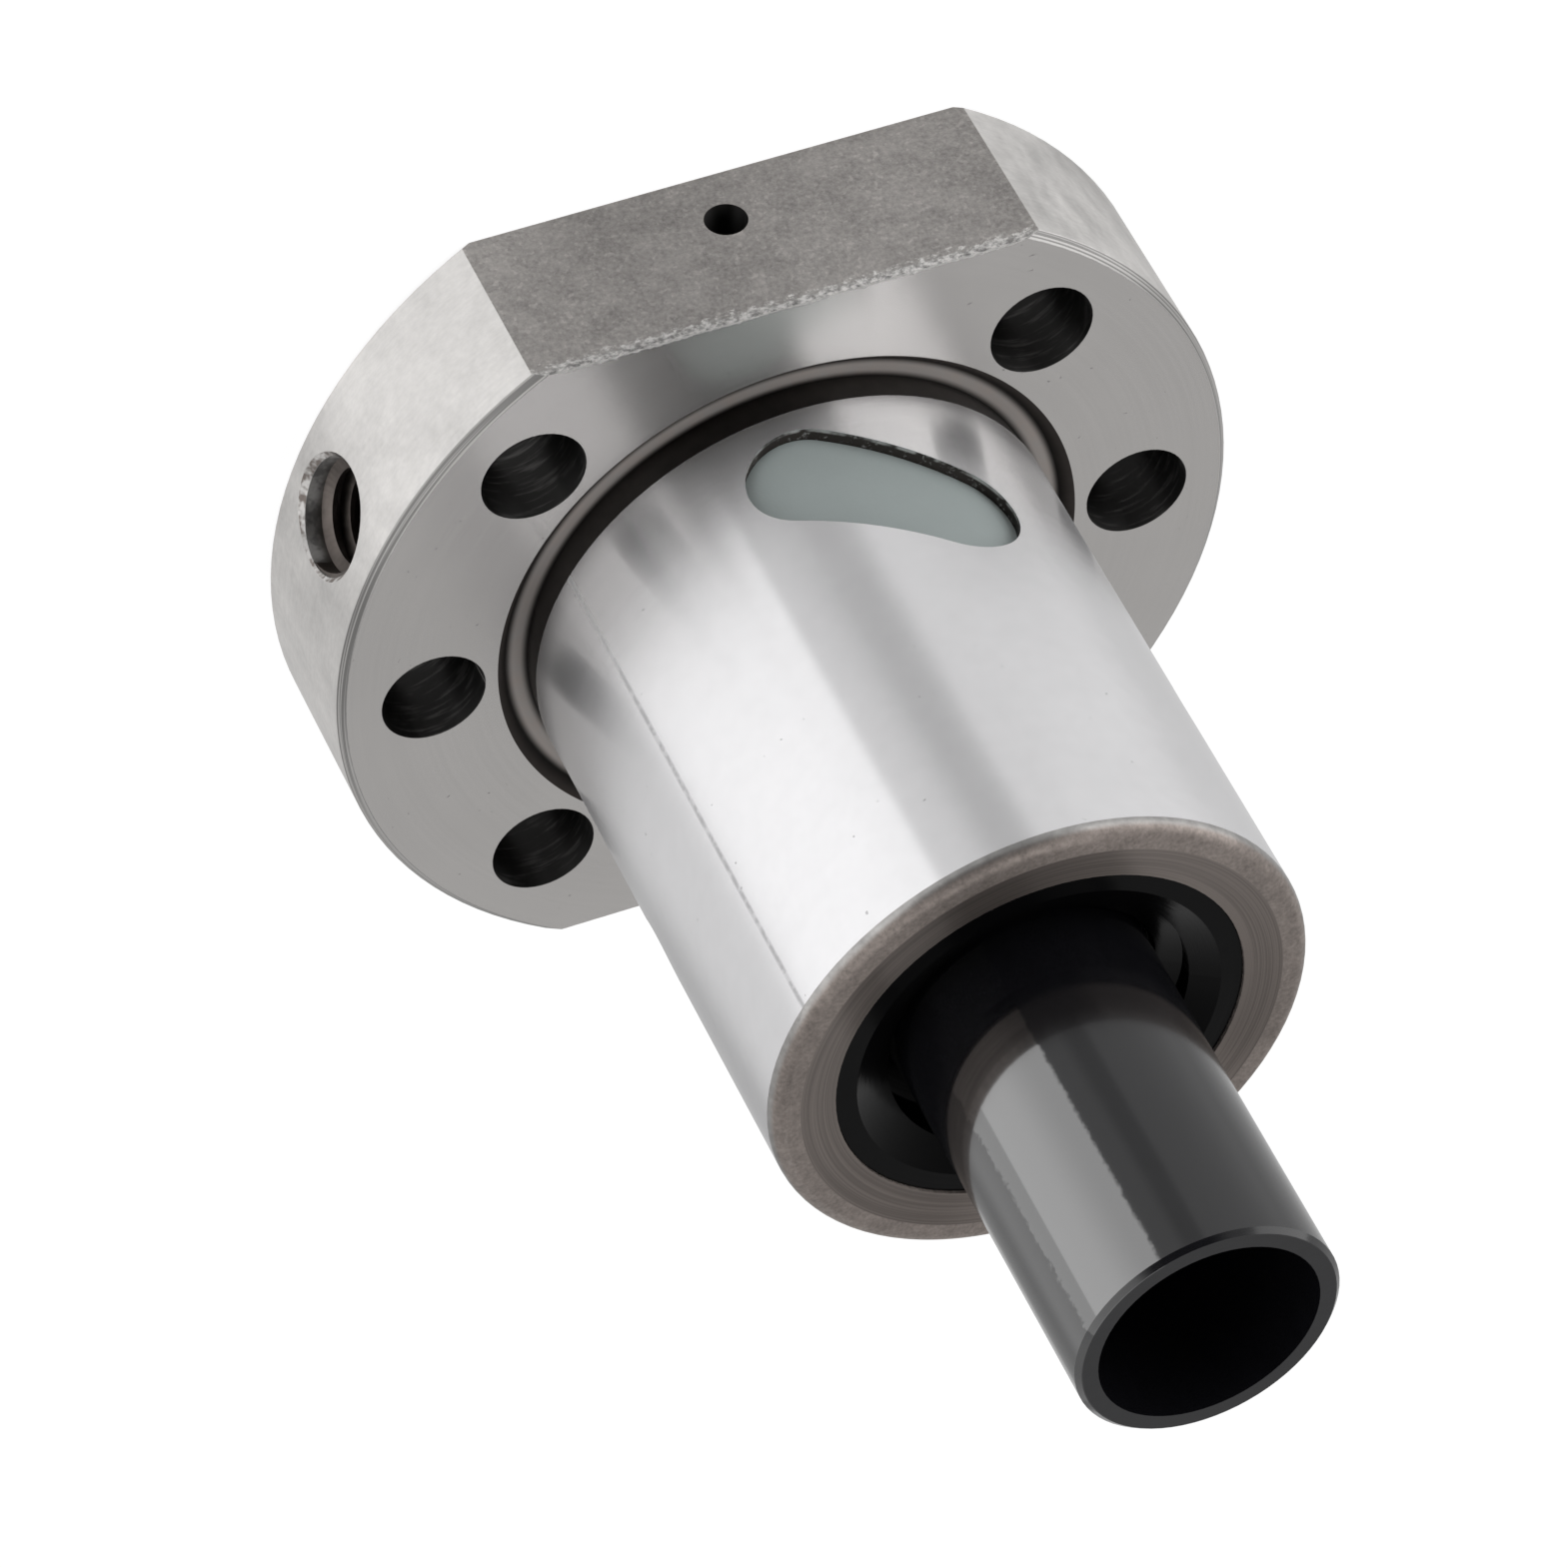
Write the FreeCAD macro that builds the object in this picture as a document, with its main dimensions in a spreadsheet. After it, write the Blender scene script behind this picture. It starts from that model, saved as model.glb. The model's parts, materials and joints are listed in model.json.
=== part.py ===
import FreeCAD, Part
import Sketcher
import math
import os

# A ball screw nut with a round flange, carried on the sleeve it is shipped on.
# Frame: origin at the centre of the flange's back face, +Z along the axis towards the nose.
# +X points at a fastening hole between the flats, +Y at the flat with the wiper screw's hole.
# Lengths are in millimetres and angles in degrees.

SIZES = (
    ("flange_diameter", 48.0, "round rim of the flange"),
    ("flange_thickness", 10.0, "back face to front face"),
    ("flat_depth", 4.0, "each of the two flats below the round rim"),
    ("rim_chamfer", 0.4, "front edge of the flange's rim"),
    ("back_chamfer", 0.25, "back edge of the flange's rim"),
    ("body_diameter", 28.0, "ground body that sits in its housing"),
    ("body_length", 32.0, "front face of the flange to the nose"),
    ("nose_radius", 0.7, "rounding of the nose's outer edge"),
    ("relief_width", 1.6, "grinding relief in the flange's face, beside the body"),
    ("relief_depth", 0.6, "depth of the relief in the flange's face"),
    ("relief_undercut", 0.2, "depth of the relief in the body"),
    ("relief_height", 0.9, "reach of the relief along the body"),
    ("hole_inset", 5.0, "round rim to the centre of each fastening hole"),
    ("bolt_hole", 5.5, "each of the six fastening holes"),
    ("bolt_step_angle", 45.0, "from the hole between the flats to its neighbours"),
    ("port_angle", 158.2, "direction of the lubrication port, between two holes"),
    ("port_height", 4.6, "port axis above the back face"),
    ("port_thread", 6.0, "outer diameter of the port's thread"),
    ("port_depth", 8.0, "threaded depth of the port"),
    ("port_countersink", 0.35, "depth of the 45 degree countersink at the port's mouth"),
    ("oil_way", 2.0, "drilling from the port's floor to the ball track"),
    ("oil_way_offset", 1.6, "oil way's shift towards the nose, clear of the wiper seat"),
    ("screw_hole", 2.2, "hole of the wiper screw in the flat"),
    ("screw_hole_height", 3.2, "its axis above the back face"),
    ("screw_hole_aside", 0.6, "its axis beside the middle of the flat"),
    ("screw_gap", 0.05, "radial gap around the wiper screw"),
    ("screw_length", 4.0, "wiper screw"),
    ("screw_socket", 1.3, "across the flats of its hexagon socket"),
    ("screw_socket_depth", 1.4, "depth of the socket"),
    ("ball_diameter", 3.175, "each ball"),
    ("ball_circle", 16.8, "circle of the ball centres in the track"),
    ("lead", 5.0, "rise of the right-hand track in one turn"),
    ("bore_diameter", 16.6, "land between the turns of the track"),
    ("track_radius", 1.68, "each of the two arcs of the pointed track"),
    ("track_gap", 0.02, "ball to the flanks of the track"),
    ("circuit_play", 3.2, "length that a circuit's balls leave free at least"),
    ("first_ball", 0.15, "first ball past the insert, as a share of the balls' spacing"),
    ("circuits", 3.0, "closed turns, each with one return insert"),
    ("first_insert_angle", 81.4, "direction of the lowest return insert"),
    ("insert_step_angle", 138.5, "from one return insert to the next"),
    ("last_insert_inset", 10.85, "nose to the centre of the highest return insert"),
    ("insert_length", 13.6, "long way of the insert's window"),
    ("insert_width", 6.0, "short way of the insert's window"),
    ("insert_tilt", 31.5, "slope of the window against the flange"),
    ("insert_recess", 0.7, "insert's outer face below the ground body"),
    ("insert_gap", 0.03, "insert to the window's wall"),
    ("return_half_angle", 38.0, "half of the turn that the balls spend in the insert"),
    ("return_lift", 1.3, "how far the insert lifts the balls over the screw's land"),
    ("return_gap", 0.1, "ball to the wall of the return channel"),
    ("return_run_out_angle", 14.0, "channel's run into the track at each end of the insert"),
    ("seat_diameter", 21.3, "wiper seat at each end"),
    ("seat_depth", 4.6, "face to the seat's floor"),
    ("mouth_share", 0.72, "share of the end face that the shallow cone round its seat takes"),
    ("mouth_depth", 0.25, "depth of that cone"),
    ("wiper_gap", 0.05, "radial gap between a wiper and its seat"),
    ("wiper_thickness", 4.2, "wiper ring along the axis"),
    ("wiper_lip_bore", 14.0, "crest of the wiper's threaded lip"),
    ("wiper_root", 16.3, "root of the wiper's threaded lip"),
    ("wiper_lip_crest", 1.4, "lip's width at its crest"),
    ("wiper_lip_base", 2.6, "lip's width at its root"),
    ("wiper_dish", 19.0, "outer edge of the dish in the wiper's open face"),
    ("wiper_dish_depth", 1.5, "depth of that dish at the lip"),
    ("sleeve_diameter", 13.5, "transit sleeve, just inside the balls"),
    ("sleeve_wall", 1.1, "wall of the sleeve"),
    ("sleeve_length", 60.0, "transit sleeve"),
    ("sleeve_foot", 1.4, "lower end of the sleeve above the back face"),
    ("sleeve_chamfer", 0.25, "broken outer edges of the sleeve"),
)

# Places and sizes that follow from the ones above.
DERIVED = (
    ("origin_height", "0"),
    ("flange_radius", "Sizes.flange_diameter / 2"),
    ("body_radius", "Sizes.body_diameter / 2"),
    ("nose_height", "Sizes.flange_thickness + Sizes.body_length"),
    ("relief_radius", "body_radius + Sizes.relief_width"),
    ("relief_slope_radius", "relief_radius - Sizes.relief_depth"),
    ("relief_floor", "Sizes.flange_thickness - Sizes.relief_depth"),
    ("undercut_radius", "body_radius - Sizes.relief_undercut"),
    ("undercut_top", "Sizes.flange_thickness + Sizes.relief_height"),
    ("relief_end", "undercut_top + Sizes.relief_undercut"),
    ("flat_offset", "flange_radius - Sizes.flat_depth"),
    ("bolt_radius", "flange_radius - Sizes.hole_inset"),
    ("bore_radius", "Sizes.bore_diameter / 2"),
    ("seat_radius", "Sizes.seat_diameter / 2"),
    ("mouth_radius", "seat_radius"
     " + Sizes.mouth_share * (body_radius - Sizes.nose_radius - seat_radius)"),
    ("upper_seat_floor", "nose_height - Sizes.seat_depth"),
    ("upper_mouth", "nose_height - Sizes.mouth_depth"),
    ("ball_radius", "Sizes.ball_diameter / 2"),
    ("ball_circle_radius", "Sizes.ball_circle / 2"),
    ("arc_offset", "(Sizes.track_radius - ball_radius - Sizes.track_gap) / sqrt(2)"),
    ("track_half_width", "Sizes.track_radius - arc_offset"),
    ("track_shoulder", "ball_circle_radius - arc_offset"),
    ("track_apex", "track_shoulder + sqrt(Sizes.track_radius ^ 2 - arc_offset ^ 2)"),
    ("track_mouth", "bore_radius - Sizes.track_radius / 3"),
    ("insert_rise", "Sizes.lead * (1 + Sizes.insert_step_angle / 360)"),
    ("first_insert_height", "nose_height - Sizes.last_insert_inset"
     " - (Sizes.circuits - 1) * insert_rise"),
    ("track_phase", "first_insert_height - Sizes.lead / 2"
     " - Sizes.lead * Sizes.first_insert_angle / 360"),
    ("track_start", "track_phase - Sizes.lead"
     " * ceil((track_phase + Sizes.track_radius - Sizes.seat_depth) / Sizes.lead)"),
    ("track_top", "track_start + track_half_width"),
    ("track_bottom", "track_start - track_half_width"),
    ("track_turns", "(upper_seat_floor + Sizes.track_radius - track_start) / Sizes.lead"),
    ("window_depth", "body_radius - bore_radius / 2"),
    ("oil_way_length", "flange_radius - bore_radius + Sizes.track_radius / 2"),
    ("screw_hole_length", "flat_offset - seat_radius + Sizes.screw_hole / 4"),
    ("screw_radius", "Sizes.screw_hole / 2 - Sizes.screw_gap"),
    ("wiper_radius", "seat_radius - Sizes.wiper_gap"),
    ("wiper_lip_radius", "Sizes.wiper_lip_bore / 2"),
    ("wiper_root_radius", "Sizes.wiper_root / 2"),
    ("wiper_dish_radius", "Sizes.wiper_dish / 2"),
    ("lower_wiper_face", "Sizes.seat_depth - Sizes.wiper_thickness"),
    ("lower_wiper_lip", "lower_wiper_face + Sizes.wiper_dish_depth"),
    ("upper_wiper_face", "upper_seat_floor + Sizes.wiper_thickness"),
    ("upper_wiper_lip", "upper_wiper_face - Sizes.wiper_dish_depth"),
    ("sleeve_radius", "Sizes.sleeve_diameter / 2"),
    ("sleeve_bore_radius", "sleeve_radius - Sizes.sleeve_wall"),
    ("sleeve_top", "Sizes.sleeve_foot + Sizes.sleeve_length"),
    ("valley_root_half", "(Sizes.lead - Sizes.wiper_lip_base) / 2"),
    ("valley_crest_half", "(Sizes.lead - Sizes.wiper_lip_crest) / 2"),
    ("valley_radius", "(sleeve_radius + wiper_lip_radius) / 2"),
    ("valley_half", "valley_crest_half + (valley_crest_half - valley_root_half)"
     " * (wiper_lip_radius - valley_radius) / (wiper_root_radius - wiper_lip_radius)"),
    ("land_phase", "track_phase + Sizes.lead / 2"),
    ("lower_valley", "land_phase - Sizes.lead"
     " * ceil((land_phase - lower_wiper_face + valley_half) / Sizes.lead)"),
    ("lower_valley_top", "lower_valley + valley_half"),
    ("lower_valley_root_top", "lower_valley + valley_root_half"),
    ("lower_valley_root_bottom", "lower_valley - valley_root_half"),
    ("lower_valley_bottom", "lower_valley - valley_half"),
    ("lower_valley_turns", "(Sizes.seat_depth + valley_half - lower_valley) / Sizes.lead"),
    ("upper_valley", "land_phase - Sizes.lead"
     " * ceil((land_phase - upper_seat_floor + valley_half) / Sizes.lead)"),
    ("upper_valley_top", "upper_valley + valley_half"),
    ("upper_valley_root_top", "upper_valley + valley_root_half"),
    ("upper_valley_root_bottom", "upper_valley - valley_root_half"),
    ("upper_valley_bottom", "upper_valley - valley_half"),
    ("upper_valley_turns", "(upper_wiper_face + valley_half - upper_valley) / Sizes.lead"),
)

# How finely the balls' path is measured, and how many points shape the return channel.
PATH_STEPS = 1440
CHANNEL_STEPS = 26

doc = FreeCAD.newDocument("ball_screw_nut")


def fill_sheet(name, rows):
    """A sheet with one named cell to a row, and what it means beside it."""
    sheet = doc.addObject("Spreadsheet::Sheet", name)
    for number, row in enumerate(rows, start=1):
        sheet.set("A%d" % number, row[0])
        sheet.set("B%d" % number, str(row[1]))
        sheet.setAlias("B%d" % number, row[0])
        if len(row) > 2:
            sheet.set("C%d" % number, row[2])
    return sheet


sizes = fill_sheet("Sizes", SIZES)
doc.recompute()
derived = fill_sheet("Derived", [(name, "=" + formula) for name, formula in DERIVED])
doc.recompute()
SIZE_NAMES = {row[0] for row in SIZES}


def value(name):
    """The number behind a name in either sheet."""
    sheet = sizes if name in SIZE_NAMES else derived
    return float(sheet.get(name))


def cell(name):
    """The name as an expression writes it."""
    return ("Sizes." if name in SIZE_NAMES else "Derived.") + name


def vector(along_x, along_y, along_z=0.0):
    return FreeCAD.Vector(along_x, along_y, along_z)


def turned(degrees):
    """A turn about the nut's axis."""
    return FreeCAD.Rotation(vector(0, 0, 1), degrees)


# Turns a flat sketch so that its X runs round the nut, its Y along it and its Z outwards.
FACING_OUT = FreeCAD.Rotation(vector(1, 1, 1), 120)


def origin_plane(body, role):
    return next(item for item in body.Origin.OriginFeatures if item.Role == role)


def new_body(label):
    body = doc.addObject("PartDesign::Body", label)
    body.Label = label
    return body


def new_sketch(body, name, plane, offset=None):
    """An empty sketch on one of the body's own origin planes, shifted by an offset."""
    sketch = body.newObject("Sketcher::SketchObject", name)
    sketch.AttachmentSupport = [(origin_plane(body, plane), "")]
    sketch.MapMode = "FlatFace"
    if offset is not None:
        sketch.AttachmentOffset = offset
    return sketch


def constrain(sketch, name, constraint, formula):
    """A named dimension of a sketch that follows a formula."""
    sketch.addConstraint(constraint)
    sketch.renameConstraint(sketch.ConstraintCount - 1, name)
    sketch.setExpression("Constraints." + name, formula)


def pin_point(sketch, name, edge, end, along_x, along_y):
    """Holds one end of an edge at the place that two names give."""
    if value(along_x) == 0:
        sketch.addConstraint(Sketcher.Constraint("PointOnObject", edge, end, -2))
    else:
        dimension = Sketcher.Constraint("DistanceX", -1, 1, edge, end, value(along_x))
        constrain(sketch, name + "_x", dimension, cell(along_x))
    if value(along_y) == 0:
        sketch.addConstraint(Sketcher.Constraint("PointOnObject", edge, end, -1))
    else:
        dimension = Sketcher.Constraint("DistanceY", -1, 1, edge, end, value(along_y))
        constrain(sketch, name + "_y", dimension, cell(along_y))


def half_section(body, name, corners):
    """A closed section beside the axis, each corner given as a radius and a height."""
    sketch = new_sketch(body, name, "XZ_Plane")
    points = [vector(value(radius), value(height)) for radius, height in corners]
    for number, point in enumerate(points):
        following = points[(number + 1) % len(points)]
        sketch.addGeometry(Part.LineSegment(point, following), False)
    for number, (radius, height) in enumerate(corners):
        previous = (number - 1) % len(corners)
        sketch.addConstraint(Sketcher.Constraint("Coincident", previous, 2, number, 1))
        pin_point(sketch, "corner%d" % number, number, 1, radius, height)
    return sketch


def spin(body, name, section):
    """A full turn of a section about the nut's axis."""
    feature = body.newObject("PartDesign::Revolution", name)
    feature.Profile = section
    feature.ReferenceAxis = (section, ["V_Axis"])
    feature.Angle = 360
    doc.recompute()
    return feature


def require_cut(feature, before):
    """Stops the build if a cut has taken nothing away."""
    if feature.Shape.isNull() or feature.Shape.Volume >= before:
        raise RuntimeError(feature.Name + " cuts nothing")


def cut_pocket(body, name, sketch, length, upwards=False):
    """A pocket of a named length, against the sketch's own Z unless it runs upwards."""
    before = body.Shape.Volume
    feature = body.newObject("PartDesign::Pocket", name)
    feature.Profile = sketch
    feature.Reversed = upwards
    feature.setExpression("Length", cell(length))
    doc.recompute()
    require_cut(feature, before)
    return feature


def cut_helix(body, name, sketch, turns):
    """A right-hand helical cut of a profile about the nut's axis."""
    before = body.Shape.Volume
    feature = body.newObject("PartDesign::SubtractiveHelix", name)
    feature.Profile = sketch
    feature.ReferenceAxis = (sketch, ["V_Axis"])
    feature.Mode = "pitch-turns-angle"
    feature.setExpression("Pitch", "Sizes.lead")
    feature.setExpression("Turns", turns)
    doc.recompute()
    require_cut(feature, before)
    return feature


def round_edges(shape, radius, height):
    """Names of the full circles about the axis that have this radius and height."""
    names = []
    for number, edge in enumerate(shape.Edges, start=1):
        circle = edge.Curve
        if not isinstance(circle, Part.Circle):
            continue
        same_radius = abs(circle.Radius - radius) < 0.001
        same_height = abs(circle.Center.z - height) < 0.001
        on_axis = math.hypot(circle.Center.x, circle.Center.y) < 0.001
        if same_radius and same_height and on_axis:
            names.append("Edge%d" % number)
    return names


def add_circle(sketch, name, centre, diameter):
    """A circle in a sketch with a bound diameter; returns its number."""
    circle = Part.Circle(centre, vector(0, 0, 1), value(diameter) / 2)
    number = sketch.addGeometry(circle, False)
    dimension = Sketcher.Constraint("Diameter", number, value(diameter))
    constrain(sketch, name + "_diameter", dimension, cell(diameter))
    return number


def facing_out(angle, radius, height, roll=0.0):
    """Place on the nut where a sketch faces outwards, rolled about its own normal."""
    radians = math.radians(angle)
    place = vector(radius * math.cos(radians), radius * math.sin(radians), height)
    rotation = turned(angle).multiply(FACING_OUT).multiply(turned(roll))
    return FreeCAD.Placement(place, rotation)


def obround(sketch, length, width):
    """A slot outline about the sketch's origin, its length along X."""
    radius = width / 2
    reach = (length - width) / 2
    normal = vector(0, 0, 1)
    right_end = Part.Circle(vector(reach, 0), normal, radius)
    left_end = Part.Circle(vector(-reach, 0), normal, radius)
    quarter = math.pi / 2
    sketch.addGeometry(Part.LineSegment(vector(-reach, radius), vector(reach, radius)), False)
    sketch.addGeometry(Part.ArcOfCircle(right_end, -quarter, quarter), False)
    sketch.addGeometry(Part.LineSegment(vector(reach, -radius), vector(-reach, -radius)), False)
    sketch.addGeometry(Part.ArcOfCircle(left_end, quarter, 3 * quarter), False)
    for first, first_end, second, second_end in ((0, 2, 1, 2), (1, 1, 2, 1), (2, 2, 3, 2), (3, 1, 0, 1)):
        sketch.addConstraint(Sketcher.Constraint("Tangent", first, first_end, second, second_end))
    sketch.addConstraint(Sketcher.Constraint("Equal", 1, 3))
    sketch.addConstraint(Sketcher.Constraint("Horizontal", 0))
    sketch.addConstraint(Sketcher.Constraint("Symmetric", 1, 3, 3, 3, -1, 1))
    constrain(sketch, "end_radius", Sketcher.Constraint("Radius", 1, radius),
              "Sizes.insert_width / 2")
    constrain(sketch, "end_distance", Sketcher.Constraint("DistanceX", 3, 3, 1, 3, 2 * reach),
              "Sizes.insert_length - Sizes.insert_width")


def insert_places():
    """Direction and height of each return insert, all on the same thread."""
    for number in range(int(value("circuits"))):
        angle = value("first_insert_angle") + number * value("insert_step_angle")
        height = value("first_insert_height") + number * value("insert_rise")
        yield number + 1, angle, height


# The nut: one steel piece, turned, milled, drilled and ground.

def nut_blank(nut):
    """The turned blank with its bore, wiper seats and the relief beside the body."""
    section = half_section(nut, "nut_section", (
        ("bore_radius", "seat_depth"),
        ("seat_radius", "seat_depth"),
        ("seat_radius", "mouth_depth"),
        ("mouth_radius", "origin_height"),
        ("flange_radius", "origin_height"),
        ("flange_radius", "flange_thickness"),
        ("relief_radius", "flange_thickness"),
        ("relief_slope_radius", "relief_floor"),
        ("undercut_radius", "relief_floor"),
        ("undercut_radius", "undercut_top"),
        ("body_radius", "relief_end"),
        ("body_radius", "nose_height"),
        ("mouth_radius", "nose_height"),
        ("seat_radius", "upper_mouth"),
        ("seat_radius", "upper_seat_floor"),
        ("bore_radius", "upper_seat_floor"),
    ))
    blank = spin(nut, "nut_blank", section)
    rounding = nut.newObject("PartDesign::Fillet", "nose_rounding")
    nose_edge = round_edges(blank.Shape, value("body_radius"), value("nose_height"))
    rounding.Base = (blank, nose_edge)
    rounding.setExpression("Radius", "Sizes.nose_radius")
    doc.recompute()
    edges = (("rim_front_edge", "rim_chamfer", "flange_thickness"),
             ("rim_back_edge", "back_chamfer", "origin_height"))
    for name, size, height in edges:
        chamfer = nut.newObject("PartDesign::Chamfer", name)
        rim_edge = round_edges(rounding.Shape, value("flange_radius"), value(height))
        chamfer.Base = (rounding, rim_edge)
        chamfer.setExpression("Size", cell(size))
        doc.recompute()
        rounding = chamfer


def mill_flats(nut):
    """The two flats of the flange, each a strip cut away beyond the flat."""
    sketch = new_sketch(nut, "flats_sketch", "XY_Plane")
    reach = value("flange_diameter")
    offset = value("flat_offset")
    for side, sign in (("near", 1), ("far", -1)):
        corners = [vector(-reach, sign * offset), vector(reach, sign * offset),
                   vector(reach, sign * reach), vector(-reach, sign * reach)]
        first = sketch.GeometryCount
        for number, corner in enumerate(corners):
            following = corners[(number + 1) % 4]
            sketch.addGeometry(Part.LineSegment(corner, following), False)
        for number in range(4):
            joint = (first + number, 2, first + (number + 1) % 4, 1)
            sketch.addConstraint(Sketcher.Constraint("Coincident", *joint))
            way = "Horizontal" if number % 2 == 0 else "Vertical"
            sketch.addConstraint(Sketcher.Constraint(way, first + number))
        flat = Sketcher.Constraint("DistanceY", -1, 1, first, 1, sign * offset)
        constrain(sketch, side + "_flat", flat, "%d * Derived.flat_offset" % sign)
        edge = Sketcher.Constraint("DistanceY", -1, 1, first + 2, 1, sign * reach)
        constrain(sketch, side + "_edge", edge, "%d * Sizes.flange_diameter" % sign)
        left = Sketcher.Constraint("DistanceX", first, 1, -1, 1, reach)
        constrain(sketch, side + "_left", left, "Sizes.flange_diameter")
        right = Sketcher.Constraint("DistanceX", -1, 1, first, 2, reach)
        constrain(sketch, side + "_right", right, "Sizes.flange_diameter")
    cut_pocket(nut, "flats", sketch, "flange_thickness", upwards=True)


def drill_fastening_holes(nut):
    """Three holes on each side of the flats, on one circle."""
    sketch = new_sketch(nut, "fastening_holes_sketch", "XY_Plane")
    circle_radius = value("bolt_radius")
    for side in (0, 180):
        for place in (-1, 0, 1):
            angle = side + place * value("bolt_step_angle")
            formula_angle = "(%d + %d * Sizes.bolt_step_angle) * 1 deg" % (side, place)
            name = "hole%d_%d" % (side, place + 1)
            radians = math.radians(angle)
            centre = vector(circle_radius * math.cos(radians), circle_radius * math.sin(radians))
            number = add_circle(sketch, name, centre, "bolt_hole")
            across = Sketcher.Constraint("DistanceX", -1, 1, number, 3, centre.x)
            constrain(sketch, name + "_x", across,
                      "Derived.bolt_radius * cos(%s)" % formula_angle)
            if place == 0:
                sketch.addConstraint(Sketcher.Constraint("PointOnObject", number, 3, -1))
                continue
            along = Sketcher.Constraint("DistanceY", -1, 1, number, 3, centre.y)
            constrain(sketch, name + "_y", along,
                      "Derived.bolt_radius * sin(%s)" % formula_angle)
    cut_pocket(nut, "fastening_holes", sketch, "flange_thickness", upwards=True)


def drill_inwards(nut, name, place, diameter, length, aside="origin_height"):
    """A round hole inwards from a place on the rim, its axis moved aside by a named length."""
    sketch = new_sketch(nut, name + "_sketch", "XY_Plane", place)
    number = add_circle(sketch, name, vector(value(aside), 0), diameter)
    if value(aside) == 0:
        sketch.addConstraint(Sketcher.Constraint("Coincident", number, 3, -1, 1))
    else:
        sketch.addConstraint(Sketcher.Constraint("PointOnObject", number, 3, -1))
        across = Sketcher.Constraint("DistanceX", -1, 1, number, 3, value(aside))
        constrain(sketch, name + "_aside", across, cell(aside))
    cut_pocket(nut, name, sketch, length)


def countersink_port(nut):
    """The port's countersink, a cone that runs on past the rim."""
    before = nut.Shape.Volume
    cone = nut.newObject("PartDesign::SubtractiveCone", "port_countersink")
    cone.AttachmentSupport = [(origin_plane(nut, "XY_Plane"), "")]
    cone.MapMode = "FlatFace"
    foot = value("flange_radius") - value("port_countersink")
    cone.AttachmentOffset = facing_out(value("port_angle"), foot, value("port_height"))
    cone.setExpression("Radius1", "Sizes.port_thread / 2")
    cone.setExpression("Radius2", "Sizes.port_thread / 2 + 2 * Sizes.port_countersink")
    cone.setExpression("Height", "2 * Sizes.port_countersink")
    doc.recompute()
    require_cut(cone, before)


def cut_ball_track(nut):
    """The pointed track: two arcs that meet at the apex, along the whole bore."""
    sketch = new_sketch(nut, "track_sketch", "XZ_Plane")
    corners = (("track_mouth", "track_top"), ("track_shoulder", "track_top"),
               ("track_apex", "track_start"), ("track_shoulder", "track_bottom"),
               ("track_mouth", "track_bottom"))
    points = [vector(value(radius), value(height)) for radius, height in corners]
    mouth_upper, upper, apex, lower, mouth_lower = points
    offset = value("arc_offset")
    radius = value("track_radius")
    apex_angle = math.atan2(offset, apex.x - upper.x)
    middle_angle = (math.pi / 2 + apex_angle) / 2
    bulge = vector(radius * math.cos(middle_angle), radius * math.sin(middle_angle) - offset)
    upper_bulge = vector(upper.x + bulge.x, apex.y + bulge.y)
    lower_bulge = vector(lower.x + bulge.x, apex.y - bulge.y)
    sketch.addGeometry(Part.LineSegment(mouth_upper, upper), False)
    sketch.addGeometry(Part.Arc(upper, upper_bulge, apex), False)
    sketch.addGeometry(Part.Arc(apex, lower_bulge, lower), False)
    sketch.addGeometry(Part.LineSegment(lower, mouth_lower), False)
    sketch.addGeometry(Part.LineSegment(mouth_lower, mouth_upper), False)
    # An arc counts from its lower end, so both arcs start where the lines say they end.
    ends = ((0, 1, 2), (1, 2, 1), (2, 2, 1), (3, 1, 2), (4, 1, 2))
    for number, first, last in ends:
        following, following_first, following_last = ends[(number + 1) % 5]
        sketch.addConstraint(Sketcher.Constraint("Coincident", number, last,
                                                 following, following_first))
    for number, (across, along) in enumerate(corners):
        pin_point(sketch, "corner%d" % number, number, ends[number][1], across, along)
    for number in (1, 2):
        flank = Sketcher.Constraint("Radius", number, radius)
        constrain(sketch, "flank%d_radius" % number, flank, "Sizes.track_radius")
    cut_helix(nut, "ball_track", sketch, "Derived.track_turns")


def cut_window(nut, number, angle, height):
    """The slot through the wall that a return insert fills."""
    place = facing_out(angle, value("body_radius"), height, -value("insert_tilt"))
    sketch = new_sketch(nut, "window_%d_sketch" % number, "XY_Plane", place)
    obround(sketch, value("insert_length"), value("insert_width"))
    cut_pocket(nut, "window_%d" % number, sketch, "window_depth")


def build_nut():
    nut = new_body("nut_body")
    nut_blank(nut)
    mill_flats(nut)
    drill_fastening_holes(nut)
    rim = value("flange_radius")
    port = facing_out(value("port_angle"), rim, value("port_height"))
    drill_inwards(nut, "lubrication_port", port, "port_thread", "port_depth")
    countersink_port(nut)
    oil_way = facing_out(value("port_angle"), rim, value("port_height") + value("oil_way_offset"))
    drill_inwards(nut, "lubrication_oil_way", oil_way, "oil_way", "oil_way_length")
    flat = facing_out(90, value("flat_offset"), value("screw_hole_height"))
    drill_inwards(nut, "wiper_screw_hole", flat, "screw_hole", "screw_hole_length",
                  "screw_hole_aside")
    for number, angle, height in insert_places():
        cut_window(nut, number, angle, height)
    cut_ball_track(nut)
    return nut


# The ball circuits and their return inserts.

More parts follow.
